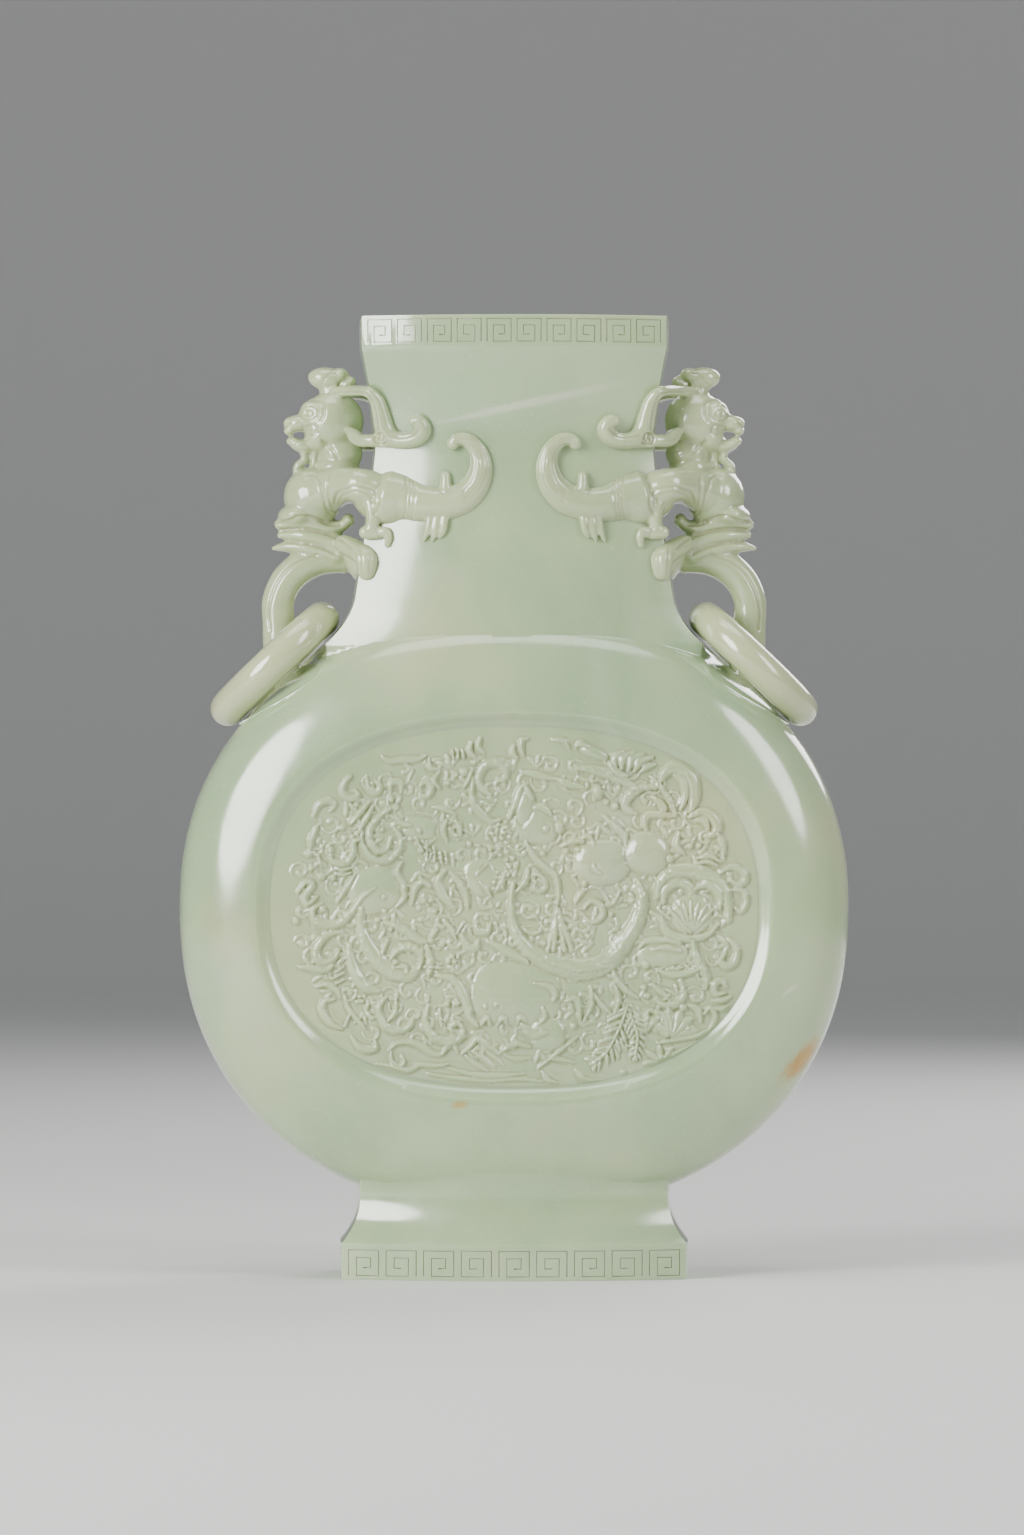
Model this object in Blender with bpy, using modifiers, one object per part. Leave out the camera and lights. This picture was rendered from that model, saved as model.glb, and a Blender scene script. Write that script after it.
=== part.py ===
"""A flattened vase of pale green jade, carved from one stone, with a horned beast for each handle
and a loose ring hanging in the loop under each beast. Metres, +Z up, the broad face towards -Y,
the origin under the middle of the foot."""

import math

import bmesh
import bpy
from mathutils import Matrix, Vector

# Overall heights
HEIGHT = 0.270
NECK_ROOT_Z = 0.1905
WAIST_Z = 0.2328
LIP_HEIGHT = 0.009

# Foot
FOOT_HALF_WIDTH = 0.0492
FOOT_HALF_DEPTH = 0.031
FOOT_BAND_HEIGHT = 0.0101
FOOT_WAIST_HALF_WIDTH = 0.0441
FOOT_WAIST_HALF_DEPTH = 0.0265
FOOT_WAIST_Z = 0.0235
FOOT_TOP_Z = 0.0319
FOOT_RIM = 0.007
FOOT_HOLLOW_DEPTH = 0.003

# Neck and mouth
MOUTH_HALF_WIDTH = 0.0437
MOUTH_HALF_DEPTH = 0.0265
WAIST_HALF_WIDTH = 0.0400
WAIST_HALF_DEPTH = 0.0210
NECK_ROOT_HALF_WIDTH = 0.0457
NECK_ROOT_HALF_DEPTH = 0.0225
FACE_BOW = 0.0085
SIDE_BOW = 0.0010
NECK_WALL = 0.005
NECK_HOLLOW_FOOT_Z = 0.163

# Shoulder, where the neck's narrow side runs down on to the body as a tongue
TONGUE_END_Z = 0.1556
TONGUE_PROUD = 0.0005
TONGUE_CROWN = 0.0075
TONGUE_EDGE = 0.0004
BURIED_Z = 0.146
BURIED_INSET = 0.017
BURIED_HALF_DEPTH = 0.0165

# Body
BODY_Z = 0.104
BODY_HALF_WIDTH = 0.0944
BODY_BELOW = 0.0862
BODY_ABOVE = 0.082
BODY_HALF_DEPTH = 0.033
OUTLINE_POWER = 2.2
FACE_POWER = 3.5
EDGE_POWER = 4.0
BODY_WALL = 0.007

# Sunk oval field on each broad side
FIELD_Z = 0.1045
FIELD_HALF_WIDTH = 0.0724
FIELD_HALF_HEIGHT = 0.0545
FIELD_POWER = 2.4
FIELD_BEVEL = 0.0042
FIELD_LEVEL = 0.0272
RELIEF_HEIGHT = 0.0020
RELIEF_SUNK = 0.0010
COIL_RADIUS = 0.0183

# Beast handles, drawn on a grid that is 58 units high
BEAST_HEIGHT = 0.058
BEAST_Z = 0.200
BEAST_UNIT = BEAST_HEIGHT / 58
LOOP_RADIUS = 0.0046
LOOP_PAST_RING = 0.0004
LOOP_ENTRY = (0.0020, 0.0010)
LOOP_ROOT = (0.0060, 0.0085)

# Loose rings
RING_RADIUS = 0.0184
RING_TUBE = 0.00495
RING_CLEARANCE = 0.0003
RING_FROM_NECK = 0.0238
RING_TOP_SHARE = 0.40
RING_STEP = 0.00005

# Fineness
BODY_SIDES = 48
BOWED_STEPS = 4
SIDE_STEPS = 2
CAVITY_SIDES = 24
RING_SIDES = 24
SHOULDER_SAMPLES = 60
TUBE_SIDES = 8
BEAST_VOXEL = 0.0008
BEAST_TRIANGLES = 1600
VASE_TRIANGLES = 9100

JADE = (0.42, 0.48, 0.36, 1.0)
RING_JADE = (0.47, 0.47, 0.33, 1.0)


def clear_scene():
    for thing in list(bpy.data.objects):
        bpy.data.objects.remove(thing, do_unlink=True)


def new_collection(name):
    group = bpy.data.collections.new(name)
    bpy.context.scene.collection.children.link(group)
    return group


def jade(name, colour):
    stone = bpy.data.materials.new(name)
    stone.use_nodes = True
    shader = stone.node_tree.nodes["Principled BSDF"]
    shader.inputs["Base Color"].default_value = colour
    shader.inputs["Roughness"].default_value = 0.2
    shader.inputs["Metallic"].default_value = 0.0
    return stone


def mesh_object(name, work, group):
    """An object from a bmesh, which is freed."""
    data = bpy.data.meshes.new(name)
    work.to_mesh(data)
    work.free()
    thing = bpy.data.objects.new(name, data)
    group.objects.link(thing)
    return thing


def as_cutter(thing):
    thing.hide_render = True
    thing.display_type = "WIRE"
    return thing


def evaluated_copy(thing):
    """The object's mesh with its modifiers or its bevel applied, welded."""
    graph = bpy.context.evaluated_depsgraph_get()
    data = bpy.data.meshes.new_from_object(thing.evaluated_get(graph))
    data.transform(thing.matrix_world)
    work = bmesh.new()
    work.from_mesh(data)
    bpy.data.meshes.remove(data)
    bmesh.ops.remove_doubles(work, verts=work.verts, dist=1e-6)
    return work


# Curves that shape the vase


def bezier(points, share):
    """A point on a cubic curve through the first and the last of four points."""
    keep = 1 - share
    weights = (keep**3, 3 * keep * keep * share, 3 * keep * share * share, share**3)
    return tuple(sum(w * p[i] for w, p in zip(weights, points)) for i in (0, 1))


def signed_power(value, power):
    return math.copysign(abs(value) ** power, value)


def oval_point(turn, half_width, above, below, power):
    """A point on an oval that is squarer than an ellipse."""
    x = half_width * signed_power(math.cos(turn), 2 / power)
    side = math.sin(turn)
    return x, (above if side > 0 else below) * signed_power(side, 2 / power)


def body_share(x, z):
    """How far out a point lies on the body's face, from 0 at the middle to 1 at the outline."""
    reach = BODY_ABOVE if z > BODY_Z else BODY_BELOW
    total = (abs(x) / BODY_HALF_WIDTH) ** OUTLINE_POWER + (abs(z - BODY_Z) / reach) ** OUTLINE_POWER
    return total ** (1 / OUTLINE_POWER)


def body_depth(x, z):
    """Half the body's thickness at a point of its face."""
    share = min(body_share(x, z), 1.0)
    return BODY_HALF_DEPTH * (1 - share**FACE_POWER) ** (1 / EDGE_POWER)


def body_half_width(z):
    rise = abs(z - BODY_Z) / (BODY_ABOVE if z > BODY_Z else BODY_BELOW)
    return BODY_HALF_WIDTH * max(1 - rise**OUTLINE_POWER, 0.0) ** (1 / OUTLINE_POWER)


def neck_sizes(z):
    """Half width and half depth of the neck at a height above its root."""
    lip_z = HEIGHT - LIP_HEIGHT
    if z >= WAIST_Z:
        rise = min((z - WAIST_Z) / (lip_z - WAIST_Z), 1.0)
        share = rise**1.65
        wide, deep = MOUTH_HALF_WIDTH, MOUTH_HALF_DEPTH
    else:
        share = ((WAIST_Z - z) / (WAIST_Z - NECK_ROOT_Z)) ** 1.2
        wide, deep = NECK_ROOT_HALF_WIDTH, NECK_ROOT_HALF_DEPTH
    return (
        WAIST_HALF_WIDTH + (wide - WAIST_HALF_WIDTH) * share,
        WAIST_HALF_DEPTH + (deep - WAIST_HALF_DEPTH) * share,
    )


def neck_face(x, z):
    """How far forward the neck's broad face stands at a point."""
    wide, deep = neck_sizes(z)
    return deep - FACE_BOW * (x / wide) ** 2


def shoulder_curve():
    """The four points of the side curve from the neck's root to the tongue's end."""
    root = (NECK_ROOT_HALF_WIDTH, NECK_ROOT_Z)
    end = (body_half_width(TONGUE_END_Z) + TONGUE_PROUD, TONGUE_END_Z)
    run, drop = end[0] - root[0], root[1] - end[1]
    leave = (root[0] + 0.08 * run, root[1] - 0.33 * drop)
    arrive = (end[0] - 0.44 * run, end[1] + 0.47 * drop)
    return root, leave, arrive, end


# Body, neck and foot


def pillow_section(wide, deep, corner_wide, corner_deep, z):
    """A rectangle with bowed sides and sharp corners, as points going round anticlockwise."""
    face = []
    for i in range(BOWED_STEPS + 1):
        share = i / BOWED_STEPS
        face.append((corner_wide * share, deep - (deep - corner_deep) * share**2))
    side = []
    for i in range(1, SIDE_STEPS + 1):
        y = corner_deep * (1 - i / SIDE_STEPS)
        side.append((wide - (wide - corner_wide) * (y / corner_deep) ** 2, y))
    first = face + side
    second = [(x, -y) for x, y in reversed(first[:-1])]
    right = first + second
    left = [(-x, y) for x, y in reversed(right[1:-1])]
    return [Vector((x, y, z)) for x, y in reversed(right + left)]


def loft(name, sections, group):
    """A closed solid through sections that have the same number of points."""
    work = bmesh.new()
    rows = [[work.verts.new(point) for point in section] for section in sections]
    count = len(rows[0])
    for low, high in zip(rows, rows[1:]):
        for i in range(count):
            j = (i + 1) % count
            work.faces.new((low[i], low[j], high[j], high[i]))
    work.faces.new(list(reversed(rows[0])))
    work.faces.new(rows[-1])
    bmesh.ops.recalc_face_normals(work, faces=work.faces)
    return mesh_object(name, work, group)


def body_solid(group):
    """The lens-shaped body, with the sunk oval field on both broad sides."""
    work = bmesh.new()
    turns = [2 * math.pi * i / BODY_SIDES for i in range(BODY_SIDES)]
    half_width, half_height = FIELD_HALF_WIDTH, FIELD_HALF_HEIGHT
    lips = [oval_point(t, half_width, half_height, half_height, FIELD_POWER) for t in turns]
    lips = [(x, z + FIELD_Z) for x, z in lips]
    inner_width, inner_height = half_width - FIELD_BEVEL, half_height - FIELD_BEVEL
    floors = [oval_point(t, inner_width, inner_height, inner_height, FIELD_POWER) for t in turns]
    edges = [oval_point(t, BODY_HALF_WIDTH, BODY_ABOVE, BODY_BELOW, OUTLINE_POWER) for t in turns]
    edges = [(x, z + BODY_Z) for x, z in edges]
    rim = [work.verts.new((x, 0.0, z)) for x, z in edges]
    for facing in (-1, 1):
        rows = [rim]
        for share in (0.96, 0.87, 0.70, 0.40, 0.0):
            row = []
            for (lip_x, lip_z), (edge_x, edge_z) in zip(lips, edges):
                x = lip_x + (edge_x - lip_x) * share
                z = lip_z + (edge_z - lip_z) * share
                row.append(work.verts.new((x, facing * body_depth(x, z), z)))
            rows.append(row)
        rows.append([work.verts.new((x, facing * FIELD_LEVEL, z + FIELD_Z)) for x, z in floors])
        for outer, inner in zip(rows, rows[1:]):
            for i in range(BODY_SIDES):
                j = (i + 1) % BODY_SIDES
                work.faces.new((outer[i], outer[j], inner[j], inner[i]))
        work.faces.new(rows[-1])
    bmesh.ops.recalc_face_normals(work, faces=work.faces)
    return mesh_object("body", work, group)


def neck_sections(wall):
    """The neck from its root to the mouth, or its hollow when a wall is given."""
    lip_z = HEIGHT - LIP_HEIGHT
    levels = [NECK_ROOT_Z, 0.5 * (NECK_ROOT_Z + WAIST_Z), WAIST_Z]
    levels += [WAIST_Z + (lip_z - WAIST_Z) * share for share in (0.45, 0.75, 1.0)]
    sections = []
    for z in levels + [HEIGHT]:
        wide, deep = neck_sizes(z)
        wide, deep = wide - wall, deep - wall
        bow = FACE_BOW * (1 - wall / deep)
        top = z + (wall if z == HEIGHT else 0.0)
        sections.append(pillow_section(wide, deep, wide - SIDE_BOW, deep - bow, top))
    return sections


def neck_solid(group):
    """The neck, with its narrow sides flaring over the shoulder and ending in a tongue."""
    curve = shoulder_curve()
    sections = []
    for share in (1.0, 0.92, 0.80, 0.65, 0.48, 0.30, 0.15):
        wide, z = bezier(curve, share)
        swell = math.sin(math.pi * min(max((share - 0.4) / 0.6, 0.0), 1.0))
        corner_wide = wide - SIDE_BOW * min(1.0, 3 * (1.02 - share)) - TONGUE_CROWN * swell
        corner_deep = NECK_ROOT_HALF_DEPTH - FACE_BOW
        if body_share(corner_wide, z) < 1.0:
            corner_deep = body_depth(corner_wide, z) + TONGUE_EDGE
        deep = max(NECK_ROOT_HALF_DEPTH, corner_deep + TONGUE_EDGE)
        sections.append(pillow_section(wide, deep, corner_wide, corner_deep, z))
    wide = curve[3][0] - BURIED_INSET
    buried = pillow_section(wide, BURIED_HALF_DEPTH, wide - 2 * SIDE_BOW, 0.6 * BURIED_HALF_DEPTH, BURIED_Z)
    return loft("neck", [buried] + sections + neck_sections(0.0), group)


def foot_solid(group):
    """The foot: a plain band that draws in to a waist and runs up into the body."""
    half_width, half_depth = FOOT_HALF_WIDTH, FOOT_HALF_DEPTH
    sections = [(0.0, 1.0), (FOOT_BAND_HEIGHT, 1.0)]
    for share in (0.3, 0.65, 1.0):
        z = FOOT_BAND_HEIGHT + (FOOT_WAIST_Z - FOOT_BAND_HEIGHT) * share
        sections.append((z, (1 - share) ** 2.2))
    sections.append((FOOT_TOP_Z, 0.0))
    rings = []
    for z, share in sections:
        wide = FOOT_WAIST_HALF_WIDTH + (half_width - FOOT_WAIST_HALF_WIDTH) * share
        deep = FOOT_WAIST_HALF_DEPTH + (half_depth - FOOT_WAIST_HALF_DEPTH) * share
        rings.append(pillow_section(wide, deep, wide - SIDE_BOW, deep - FACE_BOW, z))
    return loft("foot", rings, group)


def foot_hollow(group):
    """The shallow hollow under the foot, which leaves a flat rim to stand on."""
    wide, deep = FOOT_HALF_WIDTH - FOOT_RIM, FOOT_HALF_DEPTH - FOOT_RIM
    rings = []
    for z in (-FOOT_HOLLOW_DEPTH, FOOT_HOLLOW_DEPTH):
        rings.append(pillow_section(wide, deep, wide - SIDE_BOW, deep - FACE_BOW, z))
    return loft("foot_hollow", rings, group)


def body_hollow(group):
    """The hollow of the body, from a sphere drawn out to the body's own form."""
    work = bmesh.new()
    steps = CAVITY_SIDES // 2
    bmesh.ops.create_uvsphere(work, u_segments=CAVITY_SIDES, v_segments=steps, radius=1.0)
    bmesh.ops.rotate(work, verts=work.verts, matrix=Matrix.Rotation(math.pi / 2, 3, "X"))
    half_width = BODY_HALF_WIDTH - BODY_WALL
    half_depth = FIELD_LEVEL - NECK_WALL
    for vert in work.verts:
        reach = math.hypot(vert.co.x, vert.co.z)
        turn = math.atan2(vert.co.z, vert.co.x)
        above, below = BODY_ABOVE - BODY_WALL, BODY_BELOW - BODY_WALL
        x, z = oval_point(turn, half_width, above, below, OUTLINE_POWER)
        out = reach ** (2 / 3)
        vert.co = (x * out, half_depth * signed_power(vert.co.y, 0.75), z * out + BODY_Z)
    bmesh.ops.recalc_face_normals(work, faces=work.faces)
    return mesh_object("body_hollow", work, group)


def neck_hollow(group):
    """The hollow of the neck, running down into the hollow of the body."""
    wide, deep = neck_sizes(NECK_ROOT_Z)
    wall = NECK_WALL + SIDE_BOW
    wide, deep = wide - wall, deep - wall
    bottom = pillow_section(wide, deep, wide - SIDE_BOW, deep - 0.75 * FACE_BOW, NECK_HOLLOW_FOOT_Z)
    return loft("neck_hollow", [bottom] + neck_sections(NECK_WALL), group)


# Carved forms


def ellipsoid(centre, radii, tilt=0.0, segments=14):
    """A bmesh ball drawn out along X, Y and Z, then tilted in the plane of the face."""
    work = bmesh.new()
    bmesh.ops.create_uvsphere(work, u_segments=segments, v_segments=segments // 2, radius=1.0)
    place = Matrix.Translation(centre) @ Matrix.Rotation(tilt, 4, "Y")
    place = place @ Matrix.Diagonal((*radii, 1.0))
    bmesh.ops.transform(work, matrix=place, verts=work.verts)
    return work


def smooth_path(points, per_span):
    """More points on a smooth curve through the given ones, radii included."""
    path = []
    for i in range(len(points) - 1):
        a = points[max(i - 1, 0)]
        b, c = points[i], points[i + 1]
        d = points[min(i + 2, len(points) - 1)]
        for k in range(per_span):
            t = k / per_span
            path.append(
                tuple(
                    0.5 * (2 * q + (r - p) * t + (2 * p - 5 * q + 4 * r - s) * t * t
                           + (3 * q - p - 3 * r + s) * t**3)
                    for p, q, r, s in zip(a, b, c, d)
                )
            )
    return path + [tuple(points[-1])]


def tube(points, sides, per_span=3):
    """A bmesh tube with closed ends along a smooth curve: each point is x, y, z and a radius."""
    path = smooth_path(points, per_span)
    data = bpy.data.curves.new("tube", "CURVE")
    data.dimensions = "3D"
    data.bevel_depth = 1.0
    data.bevel_resolution = (sides - 4) // 2
    data.use_fill_caps = True
    spline = data.splines.new("POLY")
    spline.points.add(len(path) - 1)
    for point, (x, y, z, radius) in zip(spline.points, path):
        point.co = (x, y, z, 1.0)
        point.radius = max(radius, 1e-4)
    thing = bpy.data.objects.new("tube", data)
    bpy.context.scene.collection.objects.link(thing)
    bpy.context.view_layer.update()
    work = evaluated_copy(thing)
    bpy.data.objects.remove(thing, do_unlink=True)
    bmesh.ops.recalc_face_normals(work, faces=work.faces)
    return work


def joined(works):
    """One bmesh from several, which are freed."""
    whole = bmesh.new()
    for work in works:
        data = bpy.data.meshes.new("piece")
        work.to_mesh(data)
        work.free()
        whole.from_mesh(data)
        bpy.data.meshes.remove(data)
    return whole


def beast_point(out, up, y=0.0):
    """A place on the beast's grid: out from the neck's side, and up from the beast's base."""
    return (
        WAIST_HALF_WIDTH + out * BEAST_UNIT,
        y * BEAST_UNIT,
        BEAST_Z + up * BEAST_UNIT,
    )


def on_neck(out, up, radius, height):
    """A place for a tube on the neck's broad face, so that its top stands a height above the face."""
    x, _, z = beast_point(out, up)
    face = neck_face(min(x, WAIST_HALF_WIDTH), z)
    return (x, face + (height - radius) * BEAST_UNIT, z), radius


def beast_tube(points, sides=TUBE_SIDES):
    """A tube whose points are places already in metres, each with a radius in grid units."""
    return tube([(*place, radius * BEAST_UNIT) for place, radius in points], sides)


def beast_middle():
    """The head, crest, chest, scrolls and loop, which stand in the middle plane."""
    unit = BEAST_UNIT
    balls = (
        (11.2, 41.2, 8.7, 7.8, 8.6, 0.0),
        (15.6, 42.4, 5.4, 6.6, 5.6, 0.0),
        (12.8, 53.2, 5.6, 4.2, 3.3, -0.12),
        (8.0, 52.4, 3.2, 3.6, 2.8, 0.6),
        (12.2, 49.6, 3.0, 3.4, 2.2, 0.0),
        (21.2, 40.8, 4.2, 4.0, 2.6, 0.1),
        (20.0, 34.6, 4.2, 3.8, 2.4, 0.25),
        (15.2, 37.0, 4.4, 6.2, 5.0, 0.0),
        (10.0, 30.0, 6.4, 6.2, 6.0, 0.0),
        (17.0, 19.6, 8.2, 8.6, 8.6, 0.35),
        (21.0, 14.8, 6.0, 8.0, 3.6, 0.12),
    )
    works = []
    for out, up, wide, deep, high, tilt in balls:
        radii = (wide * unit, deep * unit, high * unit)
        works.append(ellipsoid(beast_point(out, up), radii, tilt))
    strips = (
        (((21.0, 33.0), 1.5), ((19.4, 29.6), 1.7), ((21.0, 27.0), 1.8), ((19.0, 24.0), 2.0)),
        (((26.3, 11.4), 1.7), ((21.0, 12.6), 2.6), ((15.0, 10.6), 2.8), ((9.4, 10.8), 3.0), ((7.6, 14.0), 2.6)),
        (((27.0, 9.6), 0.8), ((20.0, 9.4), 2.8), ((12.0, 7.4), 3.6), ((6.4, 4.4), 3.8), ((4.6, 0.2), 3.6)),
        (((28.0, 5.5), 0.7), ((23.0, 6.0), 2.1), ((17.0, 5.4), 3.2), ((10.0, 4.0), 3.6)),
        (((8.4, 3.0), 3.0), ((8.0, -0.4), 3.0)),
        (((4.4, 2.0), 3.4), ((1.0, -1.0), 3.6), ((-1.0, 2.0), 3.0)),
    )
    for strip in strips:
        points = [(beast_point(out, up), radius) for (out, up), radius in strip]
        work = beast_tube(points)
        bmesh.ops.scale(work, vec=(1.0, 1.9, 1.0), verts=work.verts)
        works.append(work)
    works.append(loop_tube())
    return works


def loop_tube():
    """The loop that holds the ring, from the scroll down into the shoulder."""
    centre, along, _ = ring_place()
    low = centre + along * LOOP_PAST_RING
    radius = LOOP_RADIUS
    points = [
        (*beast_point(8.0, 2.4), radius * 0.86),
        (*beast_point(16.6, 1.8), radius),
        (*beast_point(23.4, -2.8), radius),
        (*beast_point(26.6, -9.2), radius),
        (*beast_point(26.6, -15.6), radius),
        (low.x - LOOP_ENTRY[0], 0.0, low.z + LOOP_ENTRY[1], radius),
        (low.x - LOOP_ROOT[0], 0.0, low.z - LOOP_ROOT[1], radius),
    ]
    return tube(points, TUBE_SIDES + 2)


def beast_flank():
    """The horn, body and tail that lie on the neck's broad face; the other face mirrors them."""
    horn = [
        (beast_point(11.5, 48.8, 2.5), 1.8),
        (beast_point(5.5, 50.2, 9.0), 2.0),
        on_neck(1.4, 49.4, 2.3, 3.2),
        on_neck(-3.0, 46.4, 2.5, 3.4),
        on_neck(-5.2, 40.6, 2.9, 3.4),
        on_neck(-8.4, 36.2, 3.2, 3.4),
        on_neck(-12.4, 36.2, 2.9, 3.4),
        on_neck(-14.6, 39.2, 2.9, 3.8),
        on_neck(-12.8, 40.8, 2.4, 4.0),
    ]
    ear = [
        (beast_point(9.0, 38.2, 5.2), 2.4),
        (beast_point(4.6, 35.2, 11.4), 2.5),
        on_neck(0.6, 35.2, 2.7, 3.4),
        on_neck(-5.6, 35.4, 3.0, 3.4),
    ]
    body = [
        (beast_point(15.5, 19.4, 3.6), 7.0),
        (beast_point(9.0, 21.4, 8.6), 5.8),
        (beast_point(3.6, 21.2, 12.6), 5.6),
        on_neck(-0.8, 20.4, 6.8, 4.6),
        on_neck(-5.0, 19.6, 8.0, 4.8),
        on_neck(-11.5, 18.4, 6.2, 3.8),
        on_neck(-19.5, 17.8, 5.2, 3.4),
        on_neck(-26.4, 19.8, 4.9, 3.2),
        on_neck(-30.2, 25.0, 4.2, 3.0),
        on_neck(-30.6, 31.0, 3.5, 3.0),
        on_neck(-27.8, 35.0, 2.6, 3.0),
        on_neck(-24.6, 35.8, 2.1, 3.0),
        on_neck(-22.4, 34.0, 2.2, 3.2),
    ]
    hook = [
        on_neck(1.6, 12.4, 2.8, 3.2),
        on_neck(-1.6, 10.0, 2.2, 2.8),
        on_neck(-4.2, 9.6, 1.8, 2.4),
        on_neck(-4.6, 6.8, 1.5, 1.8),
    ]
    works = [beast_tube(horn), beast_tube(ear), beast_tube(body, TUBE_SIDES + 4), beast_tube(hook)]
    for out in (-15.0, -17.8, -20.6):
        works.append(beast_tube([on_neck(out, 13.0, 1.7, 2.2), on_neck(out + 0.8, 6.8, 0.8, 1.0)], 6))
    works.append(beast_tube([on_neck(-20.9, 21.6, 1.8, 3.0), on_neck(-20.9, 25.4, 1.4, 2.2)], 6))
    return works


def triangle_count(work):
    return sum(len(face.verts) - 2 for face in work.faces)


def with_fewer_faces(name, thing, triangles, group):
    """The same form with its faces thinned where it is flat."""
    work = evaluated_copy(thing)
    change = thing.modifiers.new("fewer faces", "DECIMATE")
    change.ratio = min(triangles / triangle_count(work), 1.0)
    work.free()
    bpy.context.view_layer.update()
    plain = evaluated_copy(thing)
    bpy.data.objects.remove(thing, do_unlink=True)
    return mesh_object(name, plain, group)


def beast_solid(group):
    """The right handle as one carved form."""
    works = beast_middle()
    for work in beast_flank():
        other = work.copy()
        bmesh.ops.scale(other, vec=(1.0, -1.0, 1.0), verts=other.verts)
        bmesh.ops.reverse_faces(other, faces=other.faces)
        works += [work, other]
    rough = mesh_object("beast_rough", joined(works), group)
    remesh = rough.modifiers.new("one form", "REMESH")
    remesh.mode = "VOXEL"
    remesh.voxel_size = BEAST_VOXEL
    bpy.context.view_layer.update()
    carved = mesh_object("beast_carved", evaluated_copy(rough), group)
    bpy.data.objects.remove(rough, do_unlink=True)
    return with_fewer_faces("beast_right", carved, BEAST_TRIANGLES, group)


def mirrored(thing, name, group):
    """The same form on the other side of the vase."""
    work = bmesh.new()
    work.from_mesh(thing.data)
    bmesh.ops.scale(work, vec=(-1.0, 1.0, 1.0), verts=work.verts)
    bmesh.ops.reverse_faces(work, faces=work.faces)
    return mesh_object(name, work, group)


# Low relief


def relief_strip(points, facing, sides=4, per_span=3):
    """A ridge on the sunk field: points are x and z in shares of the field, and a width in metres."""
    path = []
    for across, up, width in points:
        path.append((across * FIELD_HALF_WIDTH, 0.0, FIELD_Z + up * FIELD_HALF_HEIGHT, width))
    return draped(tube(path, sides, per_span), facing)


def draped(work, facing):
    """A flat form laid on the sunk field, half of it under the surface."""
    for vert in work.verts:
        raised = min(max(vert.co.y, -RELIEF_SUNK), RELIEF_HEIGHT)
        vert.co.y = facing * (FIELD_LEVEL + raised)
        vert.co.x *= -facing
    bmesh.ops.recalc_face_normals(work, faces=work.faces)
    return work


def curl(across, up, size, start, sweep, width, facing, steps=10):
    """A curl: an arc that tightens into a rolled end. Size is in metres, angles in degrees."""
    points = []
    for i in range(steps + 1):
        share = i / steps
        angle = math.radians(start + sweep * share)
        radius = size * (1 - 0.68 * share)
        x = across + radius * math.cos(angle) / FIELD_HALF_WIDTH
        z = up + radius * math.sin(angle) / FIELD_HALF_HEIGHT
        points.append((x, z, width * (0.35 + 0.75 * share)))
    return relief_strip(points, facing, per_span=1)


def boss(across, up, half_width, half_height, facing, tilt=0.0, segments=8):
    """A low rounded lump on the field."""
    centre = (across * FIELD_HALF_WIDTH, 0.0, FIELD_Z + up * FIELD_HALF_HEIGHT)
    return draped(ellipsoid(centre, (half_width, RELIEF_HEIGHT, half_height), tilt, segments), facing)


def flower(across, up, size, petals, facing):
    """A round flower: petals about a button."""
    works = [boss(across, up, 0.30 * size, 0.30 * size, facing)]
    for i in range(petals):
        angle = 2 * math.pi * (i + 0.25) / petals
        x = across + 0.64 * size * math.cos(angle) / FIELD_HALF_WIDTH
        z = up + 0.64 * size * math.sin(angle) / FIELD_HALF_HEIGHT
        works.append(boss(x, z, 0.42 * size, 0.25 * size, facing, -angle, 6))
    return works


def border_curls(facing, count, reach, size, width):
    """Curls that follow the edge of the field, turning alternately."""
    works = []
    for i in range(count):
        turn = 2 * math.pi * (i + 0.5) / count
        across, up = oval_point(turn, reach, reach, reach, FIELD_POWER)
        sense = 1 if i % 2 else -1
        start = math.degrees(turn) + 100 * sense
        works.append(curl(across, up, size, start, 400 * sense, width, facing))
    return works


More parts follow.
